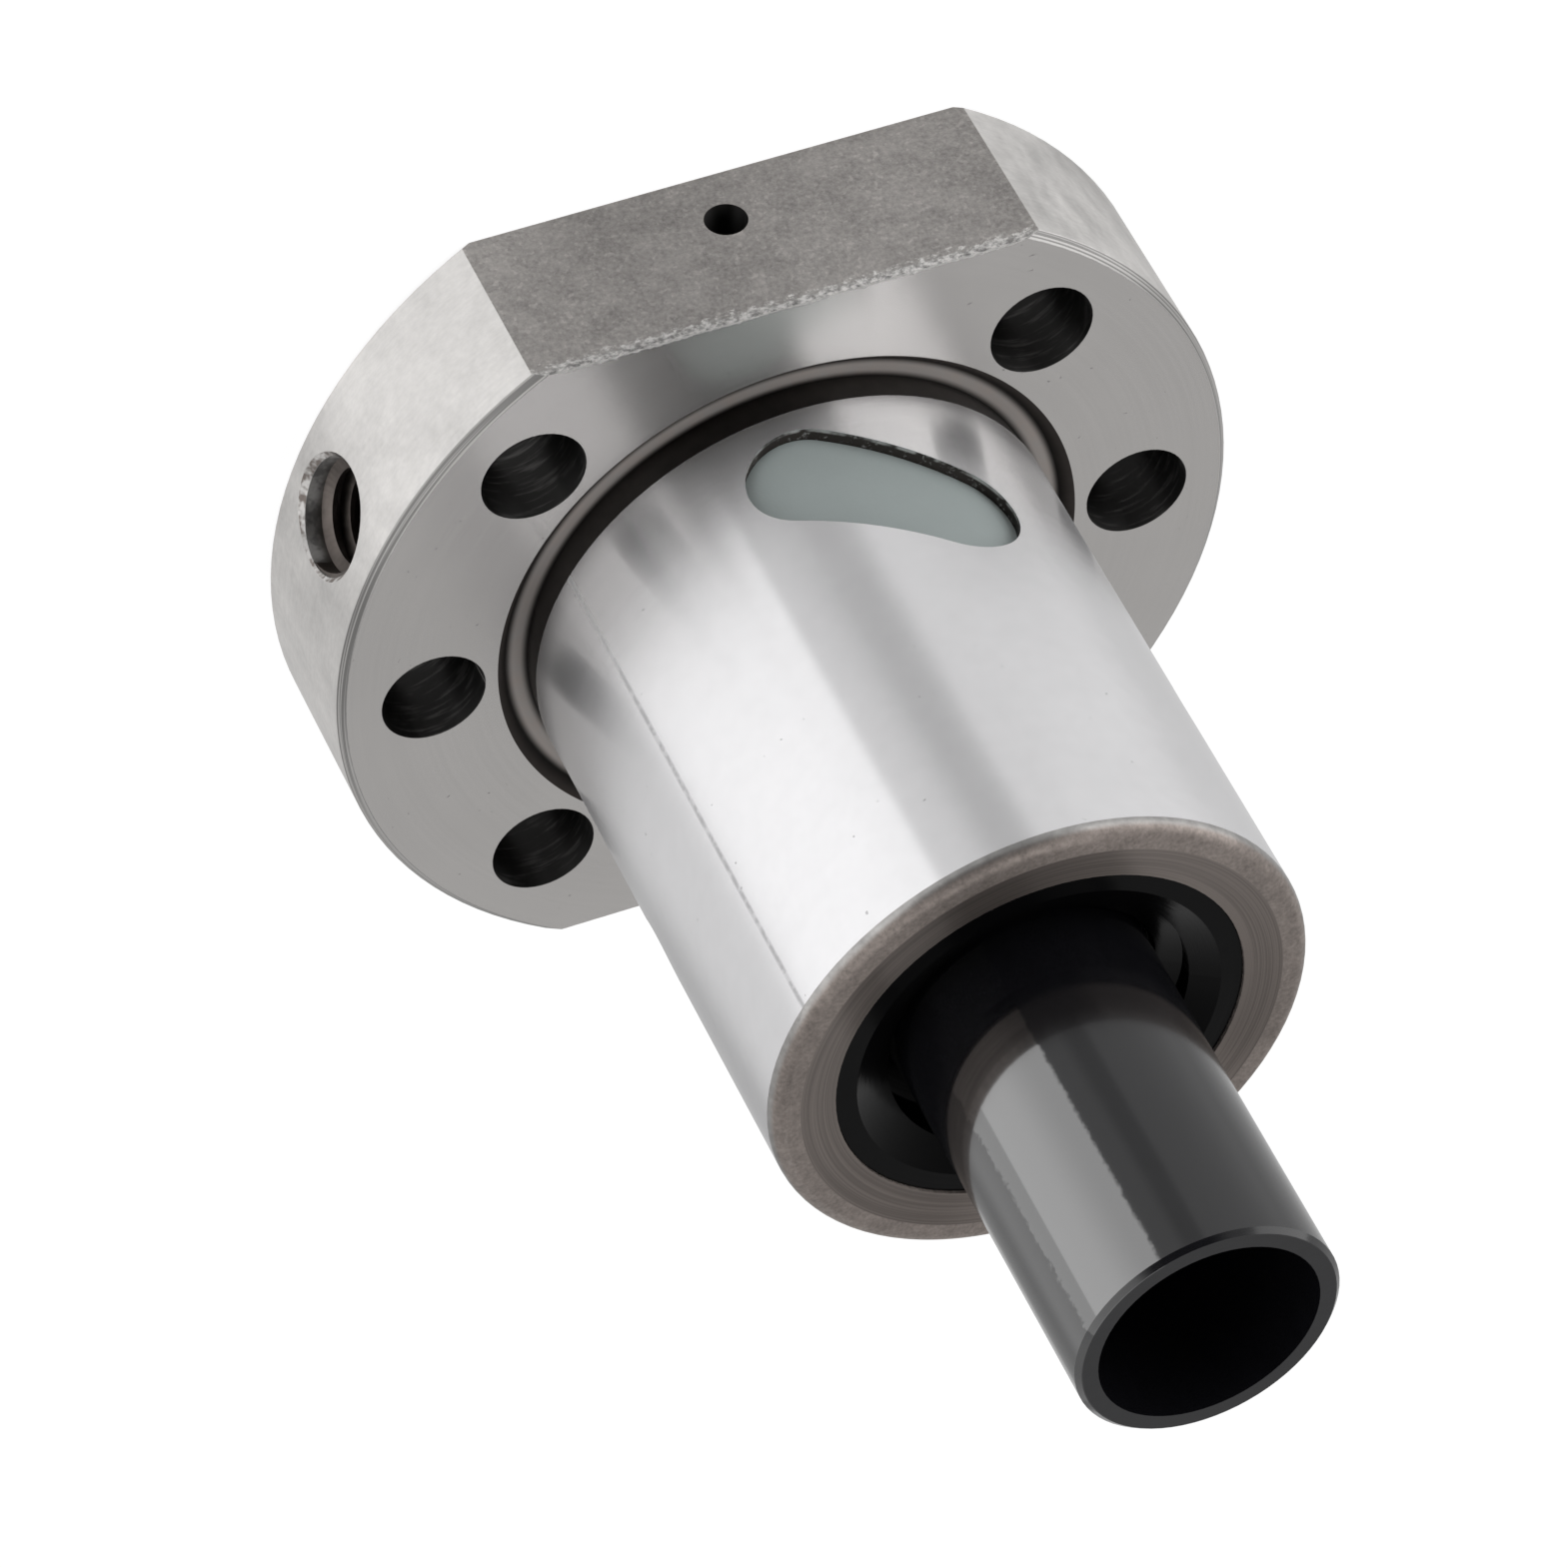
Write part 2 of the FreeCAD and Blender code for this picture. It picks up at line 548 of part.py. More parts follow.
def circuit_point(turn):
    """Centre of a ball on a closed circuit, turn degrees past its insert's middle.

    The circuit follows the track for most of its turn. Within the insert it swings back by
    one lead and rises over the land that separates the two ends of the turn.
    """
    half_angle = value("return_half_angle")
    lead = value("lead")
    radius = value("ball_circle_radius")
    if turn > half_angle:
        height = -lead / 2 + lead * turn / 360
    elif turn < -half_angle:
        height = lead / 2 + lead * turn / 360
    else:
        swing = turn / half_angle * math.pi / 2
        height = -lead / 2 * math.sin(swing) + lead * turn / 360
        radius += value("return_lift") * math.cos(swing) ** 2
    radians = math.radians(turn)
    return vector(radius * math.cos(radians), radius * math.sin(radians), height)


def ball_centres():
    """Ball centres of one circuit at equal distances along its closed path."""
    half_angle = value("return_half_angle")
    turns = [-half_angle + 360 * number / PATH_STEPS for number in range(PATH_STEPS + 1)]
    points = [circuit_point(turn) for turn in turns]
    reach = [0.0]
    for first, second in zip(points, points[1:]):
        reach.append(reach[-1] + first.distanceToPoint(second))
    count = int((reach[-1] - value("circuit_play")) / value("ball_diameter"))
    spacing = reach[-1] / count
    centres = []
    for number in range(count):
        wanted = (number + value("first_ball")) * spacing
        sample = next(place for place, length in enumerate(reach) if length >= wanted)
        centres.append(points[sample])
    return centres


def insert_form():
    """One return insert at angle zero and height zero, its channel open to the balls."""
    gap = value("insert_gap")
    width = value("insert_width") - 2 * gap
    reach = (value("insert_length") - value("insert_width")) / 2
    outer = value("body_radius") - value("insert_recess")
    inner = value("bore_radius")
    height = value("insert_length")
    foot = vector(0, 0, -height)
    wall = Part.makeCylinder(outer, 2 * height, foot)
    wall = wall.cut(Part.makeCylinder(inner, 2 * height, foot))
    radius = width / 2
    right_arc = Part.Arc(vector(reach, -radius), vector(reach + radius, 0), vector(reach, radius))
    left_arc = Part.Arc(vector(-reach, radius), vector(-reach - radius, 0), vector(-reach, -radius))
    top = Part.LineSegment(vector(reach, radius), vector(-reach, radius))
    bottom = Part.LineSegment(vector(-reach, -radius), vector(reach, -radius))
    outline = Part.Wire([piece.toShape() for piece in (right_arc, top, left_arc, bottom)])
    key = Part.Face(outline).extrude(vector(0, 0, value("window_depth")))
    inward_end = value("body_radius") - value("window_depth")
    key.Placement = facing_out(0, inward_end, 0, -value("insert_tilt"))
    body = key.common(wall)
    swing = value("return_half_angle") + value("return_run_out_angle")
    turns = [swing * (2 * number / CHANNEL_STEPS - 1) for number in range(CHANNEL_STEPS + 1)]
    path = Part.BSplineCurve()
    path.interpolate([circuit_point(turn) for turn in turns])
    start = path.value(path.FirstParameter)
    direction = path.tangent(path.FirstParameter)[0]
    channel_radius = value("ball_radius") + value("return_gap")
    rim = Part.Wire([Part.Circle(start, direction, channel_radius).toShape()])
    channel = Part.Wire([path.toShape()]).makePipeShell([rim], True, False)
    return body.cut(channel)


def place_inserts():
    form = insert_form()
    inserts = []
    for number, angle, height in insert_places():
        insert = doc.addObject("Part::Feature", "return_insert_%d" % number)
        insert.Label = "return_insert_%d" % number
        insert.Shape = form
        insert.Placement = FreeCAD.Placement(vector(0, 0, height), turned(angle))
        inserts.append(insert)
    return inserts


def place_balls():
    balls = []
    centres = ball_centres()
    for circuit, angle, height in insert_places():
        rotation = turned(angle)
        for number, centre in enumerate(centres, start=1):
            ball = doc.addObject("Part::Sphere", "ball_%d_%02d" % (circuit, number))
            ball.Label = "ball_%d_%02d" % (circuit, number)
            ball.setExpression("Radius", "Derived.ball_radius")
            place = rotation.multVec(centre) + vector(0, 0, height)
            ball.Placement = FreeCAD.Placement(place, FreeCAD.Rotation())
            balls.append(ball)
    return balls


# The wipers and the screw that holds the one in the flange.

def cut_wiper_thread(wiper, end):
    """The valley between the turns of the lip, where the screw's land runs."""
    valley = end + "_valley"
    sketch = half_section(wiper, valley + "_section", (
        ("valley_radius", valley + "_top"),
        ("wiper_root_radius", valley + "_root_top"),
        ("wiper_root_radius", valley + "_root_bottom"),
        ("valley_radius", valley + "_bottom"),
    ))
    cut_helix(wiper, valley, sketch, cell(valley + "_turns"))


def build_flange_wiper():
    wiper = new_body("wiper_flange_end")
    section = half_section(wiper, "wiper_flange_section", (
        ("wiper_lip_radius", "lower_wiper_lip"),
        ("wiper_dish_radius", "lower_wiper_face"),
        ("wiper_radius", "lower_wiper_face"),
        ("wiper_radius", "seat_depth"),
        ("wiper_lip_radius", "seat_depth"),
    ))
    spin(wiper, "wiper_flange_ring", section)
    cut_wiper_thread(wiper, "lower")
    return wiper


def build_nose_wiper():
    wiper = new_body("wiper_nose_end")
    section = half_section(wiper, "wiper_nose_section", (
        ("wiper_lip_radius", "upper_seat_floor"),
        ("wiper_radius", "upper_seat_floor"),
        ("wiper_radius", "upper_wiper_face"),
        ("wiper_dish_radius", "upper_wiper_face"),
        ("wiper_lip_radius", "upper_wiper_lip"),
    ))
    spin(wiper, "wiper_nose_ring", section)
    cut_wiper_thread(wiper, "upper")
    return wiper


def build_wiper_screw():
    """A grub screw, its tip on the wiper and its hexagon socket facing out."""
    shank = doc.addObject("Part::Cylinder", "wiper_screw_shank")
    shank.setExpression("Radius", "Derived.screw_radius")
    shank.setExpression("Height", "Sizes.screw_length")
    socket = doc.addObject("Part::Prism", "wiper_screw_socket")
    socket.Polygon = 6
    socket.setExpression("Circumradius", "Sizes.screw_socket / sqrt(3)")
    socket.setExpression("Height", "Sizes.screw_socket_depth")
    socket.setExpression("Placement.Base.z", "Sizes.screw_length - Sizes.screw_socket_depth")
    screw = doc.addObject("Part::Cut", "wiper_set_screw")
    screw.Label = "wiper_set_screw"
    screw.Base = shank
    screw.Tool = socket
    screw.Placement = FreeCAD.Placement(vector(0, 0), FreeCAD.Rotation(vector(1, 0, 0), -90))
    screw.setExpression("Placement.Base.x", "-Sizes.screw_hole_aside")
    screw.setExpression("Placement.Base.y", "Derived.seat_radius")
    screw.setExpression("Placement.Base.z", "Sizes.screw_hole_height")
    return screw


def build_sleeve():
    """The plain tube that the nut is shipped on, its outer edges broken."""
    sleeve = new_body("transit_sleeve")
    section = half_section(sleeve, "sleeve_section", (
        ("sleeve_bore_radius", "sleeve_foot"),
        ("sleeve_radius", "sleeve_foot"),
        ("sleeve_radius", "sleeve_top"),
        ("sleeve_bore_radius", "sleeve_top"),
    ))
    tube = spin(sleeve, "sleeve_tube", section)
    ends = round_edges(tube.Shape, value("sleeve_radius"), value("sleeve_foot"))
    ends += round_edges(tube.Shape, value("sleeve_radius"), value("sleeve_top"))
    chamfer = sleeve.newObject("PartDesign::Chamfer", "sleeve_edges")
    chamfer.Base = (tube, ends)
    chamfer.setExpression("Size", "Sizes.sleeve_chamfer")
    doc.recompute()
    return sleeve


def check(pieces):
    """Stops the build if any object has failed or any piece isn't sound."""
    for item in doc.Objects:
        if "Invalid" in item.State or "Error" in item.State:
            raise RuntimeError(item.Label + " has failed")
    for piece in pieces:
        if piece.Shape.isNull() or not piece.Shape.isValid():
            raise RuntimeError(piece.Label + " isn't a sound solid")


def main():
    pieces = [build_nut()]
    pieces += place_inserts()
    pieces += place_balls()
    pieces += [build_flange_wiper(), build_nose_wiper(), build_wiper_screw(), build_sleeve()]
    doc.recompute()
    check(pieces)
    os.makedirs("parts", exist_ok=True)
    for piece in pieces:
        piece.Shape.exportStep("parts/%s.step" % piece.Label)
        solids = len(piece.Shape.Solids)
        print("%-18s %9.2f mm3, %d solid" % (piece.Label, piece.Shape.Volume, solids))


main()
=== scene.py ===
import json
import math

import bmesh
import bpy
from bpy.props import FloatProperty, FloatVectorProperty, IntProperty, PointerProperty
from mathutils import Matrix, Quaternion, Vector, noise


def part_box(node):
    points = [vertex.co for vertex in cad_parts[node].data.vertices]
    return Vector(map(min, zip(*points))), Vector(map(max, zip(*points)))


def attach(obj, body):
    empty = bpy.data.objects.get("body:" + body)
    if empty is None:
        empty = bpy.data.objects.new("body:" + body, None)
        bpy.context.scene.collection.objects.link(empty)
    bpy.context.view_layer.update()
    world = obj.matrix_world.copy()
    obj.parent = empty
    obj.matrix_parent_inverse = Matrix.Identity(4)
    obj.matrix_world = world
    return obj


bl_info = {
    "name": "Ball Screw Nut Finish",
    "version": (1, 0, 0),
    "blender": (4, 5, 0),
    "location": "View3D > Sidebar > Ball Nut",
    "description": "Gives a flanged ball screw nut its ground, turned and moulded surfaces",
    "category": "Object",
}

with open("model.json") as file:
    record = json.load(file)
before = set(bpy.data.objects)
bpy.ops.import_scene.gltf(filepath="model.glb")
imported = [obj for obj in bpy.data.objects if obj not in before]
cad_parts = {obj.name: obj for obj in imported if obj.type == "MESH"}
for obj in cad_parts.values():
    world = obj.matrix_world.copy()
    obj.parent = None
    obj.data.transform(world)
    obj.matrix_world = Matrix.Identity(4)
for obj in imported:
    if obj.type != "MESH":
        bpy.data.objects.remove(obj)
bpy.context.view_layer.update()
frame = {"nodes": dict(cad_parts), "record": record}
MM = 0.001

# Places on the nut, in millimetres, that its surfaces are told apart by.
NUT_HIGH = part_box("nut_body")[1] / MM
FLANGE_RADIUS = NUT_HIGH.x
FLAT_OFFSET = NUT_HIGH.y
NOSE = NUT_HIGH.z
MOUNTS = {mount["name"]: mount for mount in frame["record"]["mounts"]}
FRONT = MOUNTS["flange_front"]["pos_m"][2] / MM
BODY_RADIUS = MOUNTS["spigot"]["dims"]["r_mm"]
HOLE_RADIUS = MOUNTS["flange_bolts"]["dims"]["hole_r_mm"]
HOLE_CIRCLE = MOUNTS["flange_bolts_middle"]["dims"]["spacing_x_mm"] / 2
HOLE_SQUARE = MOUNTS["flange_bolts"]["dims"]["spacing_x_mm"] / 2
PORT = MOUNTS["lubrication_port"]
PORT_RADIUS = PORT["dims"]["r_mm"]
PORT_DEPTH = PORT["dims"]["length_mm"]
PORT_AXIS = Vector(PORT["axis"])
PORT_DIRECTION = math.atan2(PORT_AXIS.y, PORT_AXIS.x)
PORT_HEIGHT = PORT["pos_m"][2] / MM
PORT_COUNTERSINK = 0.35
RIM_CHAMFER = 0.4
BACK_CHAMFER = 0.25
RELIEF_WIDTH = 1.6
RELIEF_DEPTH = 0.6
RELIEF_UNDERCUT = 0.2
RELIEF_TOP = 1.1
NOSE_RADIUS = 0.7
SEAT_RADIUS = 10.65
SEAT_DEPTH = 4.6
CONE_RADIUS = 12.56
SCREW_HOLE_RADIUS = 1.1
SCREW_HOLE_HEIGHT = 3.2
SCREW_HOLE_ASIDE = -0.6
SLEEVE_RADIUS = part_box("transit_sleeve")[1].x / MM
# Slack with which a surface is told by its place.
SPLIT = 0.012

# Start of the port's thread behind its countersink, its thinnest share of full depth, and
# half the width of its ridge at the root and at the crest, as shares of the pitch.
THREAD_SETBACK = 0.5
THREAD_THINNEST = 0.02
THREAD_HALF_ROOT, THREAD_HALF_CREST = 7 / 16, 1 / 8
# Depth of the burr's edges in the steel, and sections over which each end fades out.
BURR_SKIN = 0.002
BURR_FADE = 12

# Directions round the nut, in degrees, of marks on its surfaces.
# The first is the dark broken line along the body.
DARK_LINE = 150.3
SLEEVE_POLISH_START = 156.5
SLEEVE_POLISH_FADE = 125
SLEEVE_SCUFF_END = 113
SLEEVE_BACK = 180

# The floor as the steel mirrors it: directions of its parts, and their brightness.
CARD_RIGHT, CARD_LEFT = 114.8, 190.4
RIGHT_GAP, LEFT_FADE, FAR_SIDE = 75, 225, 264
CARD_LEVEL = 1.46
RIGHT_LEVELS = (0.58, 0.95, 0.76)
LEFT_LEVELS = (0.5, 0.93, 1.0)
# The floor's own glow where the camera sees it, and that glow's share.
FLOOR_GLOW = 1.14
GLOW_SHARE = 0.8
# The sky at the horizon, overhead and in its dark gap, and where that gap is.
SKY_LEVELS = (0.88, 0.37, 0.02)
SKY_GAP = (98, 39)
# Each upright lamp: name, direction, distance, height, width and height of its panel,
# and radiance. Then the lamp above the nut: edge, height and radiance.
PANELS = (
    ("key_panel", 160, 0.75, 0.20, 0.90, 0.40, 1.0),
    ("fill_panel", 25, 0.80, 0.36, 1.10, 0.72, 1.35),
)
OVERHEAD = (1.2, 1.3, 1.0)
# The camera's sensor in millimetres, and in metres how near and how far it sees.
SENSOR_WIDTH = 36
NEAREST, FARTHEST = 0.01, 20


class NutSizes(bpy.types.PropertyGroup):
    """Small forms that are added to the nut."""

    thread_pitch: FloatProperty(
        name="Port thread pitch", description="Rise of the port's thread in one turn",
        default=1.0 * MM, unit="LENGTH")
    thread_depth: FloatProperty(
        name="Port thread depth", description="Height of the port's thread",
        default=0.54 * MM, unit="LENGTH")
    thread_segments: IntProperty(
        name="Thread segments", description="Steps in one turn of the port's thread", default=48)
    burr_width: FloatProperty(
        name="Burr width", description="Widest reach of the burr over the flange's face",
        default=0.34 * MM, unit="LENGTH")
    burr_height: FloatProperty(
        name="Burr height", description="Highest point of the burr over the flange's face",
        default=0.2 * MM, unit="LENGTH")
    burr_steps: IntProperty(
        name="Burr steps", description="Sections along the burr", default=360)


class NutFinish(bpy.types.PropertyGroup):
    """Colours of the surfaces."""

    ground: FloatVectorProperty(
        name="Ground body", description="Ground steel of the body", subtype="COLOR",
        default=(0.74, 0.735, 0.745))
    turned: FloatVectorProperty(
        name="Turned face", description="Turned steel of the flange's faces", subtype="COLOR",
        default=(0.655, 0.637, 0.62))
    rim: FloatVectorProperty(
        name="Rim", description="Turned steel of the flange's rim", subtype="COLOR",
        default=(0.66, 0.645, 0.63))
    flat: FloatVectorProperty(
        name="Flat", description="Grey scale on the flats", subtype="COLOR",
        default=(0.455, 0.432, 0.415))
    scale: FloatVectorProperty(
        name="Brown scale", description="Brown scale on the nose, the relief and the windows",
        subtype="COLOR", default=(0.34, 0.295, 0.27))
    black: FloatVectorProperty(
        name="Black scale", description="Black scale in the small hole and on its screw",
        subtype="COLOR", default=(0.022, 0.020, 0.019))
    insert: FloatVectorProperty(
        name="Return insert", description="Moulded grey-green plastic", subtype="COLOR",
        default=(0.35, 0.395, 0.39))
    wiper: FloatVectorProperty(
        name="Wiper", description="Moulded black plastic", subtype="COLOR",
        default=(0.002, 0.002, 0.0022))
    sleeve: FloatVectorProperty(
        name="Sleeve", description="Extruded charcoal plastic", subtype="COLOR",
        default=(0.006, 0.006, 0.0075))


class NutStudio(bpy.types.PropertyGroup):
    """Camera, lamps and floor."""

    target: FloatVectorProperty(
        name="Camera target", description="Point that the camera looks at", subtype="TRANSLATION",
        default=(-0.00613, 0.00273, 0.02425))
    azimuth: FloatProperty(
        name="Camera azimuth", description="Direction of the camera round the nut",
        default=math.radians(199.396), unit="ROTATION")
    elevation: FloatProperty(
        name="Camera elevation", description="Height of the camera above the horizon",
        default=math.radians(38.718), unit="ROTATION")
    roll: FloatProperty(
        name="Camera roll", description="Turn of the camera about its own line of sight",
        default=math.radians(150.863), unit="ROTATION")
    distance: FloatProperty(
        name="Camera distance", description="Camera to its target", default=0.43744, unit="LENGTH")
    lens: FloatProperty(
        name="Lens", description="Focal length in millimetres on a 36 mm sensor", default=206.487)
    floor_size: FloatProperty(
        name="Floor size", description="Edge of the square floor", default=6.0, unit="LENGTH")
    floor: FloatVectorProperty(
        name="Floor", description="Pale floor", subtype="COLOR", default=(0.9, 0.9, 0.9))


class Shade:
    """A shader socket that Python's operators work on."""

    def __init__(self, tree, socket):
        self.tree = tree
        self.socket = socket

    def __add__(self, other):
        return self.tree.maths("ADD", self, other)

    def __radd__(self, other):
        return self.tree.maths("ADD", other, self)

    def __sub__(self, other):
        return self.tree.maths("SUBTRACT", self, other)

    def __rsub__(self, other):
        return self.tree.maths("SUBTRACT", other, self)

    def __mul__(self, other):
        return self.tree.maths("MULTIPLY", self, other)

    def __rmul__(self, other):
        return self.tree.maths("MULTIPLY", other, self)

    def __pow__(self, other):
        return self.tree.maths("POWER", self, other)

    def __abs__(self):
        return self.tree.maths("ABSOLUTE", self)


class ShaderTree:
    """The nodes of one material or of the world."""

    def __init__(self, owner):
        owner.use_nodes = True
        self.nodes = owner.node_tree.nodes
        self.links = owner.node_tree.links
        self.nodes.clear()

    def node(self, kind, settings=None, inputs=None, output=0):
        """Adds a node: its settings first, then the values or links of its sockets."""
        made = self.nodes.new(kind)
        for name, value in (settings or {}).items():
            setattr(made, name, value)
        for name, value in (inputs or {}).items():
            if isinstance(value, Shade):
                self.links.new(value.socket, made.inputs[name])
            else:
                made.inputs[name].default_value = value
        return Shade(self, made.outputs[output]) if made.outputs else made

    def maths(self, operation, *values):
        """One step of arithmetic on sockets and numbers."""
        return self.node("ShaderNodeMath", {"operation": operation}, dict(enumerate(values)))

    def vector(self, x, y, z):
        return self.node("ShaderNodeCombineXYZ", None, {0: x, 1: y, 2: z})

    def rise(self, value, low, high):
        """0 below low, 1 above high and smooth between them."""
        limits = {"Value": value, "From Min": low, "From Max": high}
        return self.node("ShaderNodeMapRange", {"interpolation_type": "SMOOTHSTEP"}, limits)

    def above(self, value, edge, soft=SPLIT):
        """0 under the edge and 1 over it, blurred by soft on either side."""
        return self.rise(value, edge - soft, edge + soft)

    def below(self, value, edge, soft=SPLIT):
        """1 under the edge and 0 over it, blurred by soft on either side."""
        return 1 - self.above(value, edge, soft)

    def between(self, value, low, high):
        """1 from low to high and 0 outside."""
        return self.above(value, low) * self.below(value, high)

    def mix(self, share, first, second):
        """A value from first to second as share goes from 0 to 1."""
        return self.node("ShaderNodeMix", None, {0: share, 2: first, 3: second})

    def blend(self, share, first, second):
        """A colour from first to second as share goes from 0 to 1."""
        colours = {6: opaque(first), 7: opaque(second), 0: share}
        return self.node("ShaderNodeMix", {"data_type": "RGBA"}, colours, output=2)

    def shade(self, colour, strength):
        """A colour made lighter or darker by a value."""
        grey = self.vector(strength, strength, strength)
        settings = {"data_type": "RGBA", "blend_type": "MULTIPLY"}
        return self.node("ShaderNodeMix", settings, {0: 1.0, 6: opaque(colour), 7: grey}, output=2)

    def cloud(self, place, size, detail=3.0, roughness=0.5):
        """Soft noise whose patches are size millimetres across."""
        settings = {"Vector": place, "Scale": 1 / size, "Detail": detail, "Roughness": roughness}
        return self.node("ShaderNodeTexNoise", None, settings)

    def bump(self, height, depth):
        """A relief that is depth millimetres high where height is 1."""
        return self.node("ShaderNodeBump", None, {"Height": height, "Distance": depth * MM})

    def finish(self, inputs):
        """The surface of an opaque material."""
        surface = self.node("ShaderNodeBsdfPrincipled", None, inputs)
        self.node("ShaderNodeOutputMaterial", None, {"Surface": surface})


def opaque(colour):
    """A colour as a socket takes it: a link as it is, three numbers with full alpha."""
    return colour if isinstance(colour, Shade) else (*colour, 1.0)


class Place:
    """Millimetre coordinates on the nut: x, y, z, and the distance r from its axis."""

    def __init__(self, tree):
        self.tree = tree
        spot = tree.node("ShaderNodeTexCoord", None, None, "Object")
        scaled = {"Vector": spot, "Scale": 1 / MM}
        self.all = tree.node("ShaderNodeVectorMath", {"operation": "SCALE"}, scaled)
        parts = tree.node("ShaderNodeSeparateXYZ", None, {"Vector": self.all}).socket.node.outputs
        self.x, self.y, self.z = (Shade(tree, socket) for socket in parts)
        self.r = (self.x * self.x + self.y * self.y) ** 0.5

    def rings(self, fineness):
        """Coordinates that hardly change round the nut: lines left by turning and grinding."""
        return self.tree.vector(self.x * 0.06, self.y * 0.06, (self.z + self.r) * fineness)

    def streaks(self, fineness):
        """Coordinates that hardly change along the axis: lines left by drawing or rubbing."""
        return self.tree.vector(self.x * fineness, self.y * fineness, self.z * 0.05)

    def from_line(self, angle):
        """Distance across and along a line from the axis in one direction, seen from above."""
        cosine = math.cos(angle)
        sine = math.sin(angle)
        return self.x * sine - self.y * cosine, self.x * cosine + self.y * sine


class Layers:
    """Colour, roughness, metal share and relief of a surface, laid over one another."""

    def __init__(self, tree, colour, roughness, metal):
        self.tree = tree
        self.colour = colour
        self.roughness = roughness
        self.metal = metal
        self.relief = 0.0

    def lay(self, mask, colour, roughness, metal, relief=None):
        """Covers what lies below where the mask is 1, and keeps its relief if given none."""
        self.colour = self.tree.blend(mask, self.colour, colour)
        self.roughness = self.tree.mix(mask, self.roughness, roughness)
        self.metal = self.tree.mix(mask, self.metal, metal)
        if relief is not None:
            self.relief = self.tree.mix(mask, self.relief, relief)


def settings():
    """The three groups of values that a user may change."""
    scene = bpy.context.scene
    return scene.ball_nut_sizes, scene.ball_nut_finish, scene.ball_nut_studio


def new_material(name):
    """An empty material and its nodes."""
    material = bpy.data.materials.new(name)
    return material, ShaderTree(material)


def wear(nodes, material):
    """Gives named parts of the frame a material in place of their plain one."""
    for name in nodes:
        for slot in frame["nodes"][name].material_slots:
            slot.link = "OBJECT"
            slot.material = material


def nodes_called(start):
    """Names of the frame's parts that begin alike."""
    return sorted(name for name in frame["nodes"] if name.startswith(start))


def new_piece(name, mesh, material, body):
    """A mesh piece that rides on a body of the frame."""
    piece = bpy.data.objects.new(name, mesh)
    bpy.context.scene.collection.objects.link(piece)
    mesh.materials.append(material)
    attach(piece, body)


def skin_of(name, sections):
    """A closed mesh through a row of closed sections with as many corners each."""
    mesh = bpy.data.meshes.new(name)
    form = bmesh.new()
    rings = [[form.verts.new(spot) for spot in section] for section in sections]
    corners = len(rings[0])
    for first, second in zip(rings, rings[1:]):
        for side in range(corners):
            after = (side + 1) % corners
            form.faces.new((first[side], first[after], second[after], second[side]))
    form.faces.new(rings[0])
    form.faces.new(reversed(rings[-1]))
    bmesh.ops.recalc_face_normals(form, faces=form.faces)
    form.to_mesh(mesh)
    form.free()
    return mesh


def hole_mask(tree, place):
    """1 inside the six fastening holes."""
    across, along = abs(place.x), abs(place.y)
    middle = ((across - HOLE_CIRCLE) ** 2 + along ** 2) ** 0.5
    beside = ((across - HOLE_SQUARE) ** 2 + (along - HOLE_SQUARE) ** 2) ** 0.5
    nearest = tree.maths("MINIMUM", middle, beside)
    return tree.below(nearest, HOLE_RADIUS + SPLIT) * tree.between(place.z, 0, FRONT)


def port_mask(tree, place):
    """1 inside the lubrication port, and 1 on the countersink at its mouth."""
    across, along = place.from_line(PORT_DIRECTION)
    off_axis = (across ** 2 + (place.z - PORT_HEIGHT) ** 2) ** 0.5
    inside = tree.below(off_axis, PORT_RADIUS + SPLIT) * tree.below(place.r, FLANGE_RADIUS - SPLIT)
    mouth = tree.below(off_axis, PORT_RADIUS + PORT_COUNTERSINK + SPLIT)
    mouth = mouth * tree.between(place.r, FLANGE_RADIUS - 1, FLANGE_RADIUS - 2 * SPLIT)
    outwards = tree.above(along, BODY_RADIUS / 2)
    return inside * outwards, mouth * outwards


def screw_hole_mask(tree, place):
    """1 inside the wiper screw's hole in the flat."""
    across = place.x - SCREW_HOLE_ASIDE
    off_axis = (across ** 2 + (place.z - SCREW_HOLE_HEIGHT) ** 2) ** 0.5
    inside = tree.below(off_axis, SCREW_HOLE_RADIUS + SPLIT)
    return inside * tree.between(place.y, BODY_RADIUS / 2, FLAT_OFFSET - SPLIT)


def lay_turned_faces(tree, place, layers, colours):
    """The flange's two faces: fine rings, a little dirt and a few small marks."""
    lines = tree.cloud(place.rings(5), 1.0, 2.0)
    dirt = tree.cloud(place.all, 6.0, 2.0)
    marks = tree.rise(tree.cloud(place.all, 0.35, 2.0), 0.74, 0.78)
    tone = 0.94 + 0.06 * lines + 0.08 * dirt - 0.35 * marks
    roughness = 0.2 + 0.06 * lines
    front = tree.between(place.z, FRONT - 2 * SPLIT, FRONT + 2 * SPLIT)
    front = front * tree.between(place.r, BODY_RADIUS + RELIEF_WIDTH, FLANGE_RADIUS - RIM_CHAMFER)
    layers.lay(front, tree.shade(colours.turned, tone), roughness, 1.0, 0.3 * lines)
    back = tree.below(place.z, 2 * SPLIT) * tree.below(place.r, FLANGE_RADIUS - BACK_CHAMFER)
    layers.lay(back, tree.shade(colours.turned, tone * 0.85), roughness + 0.05, 1.0, 0.5 * lines)


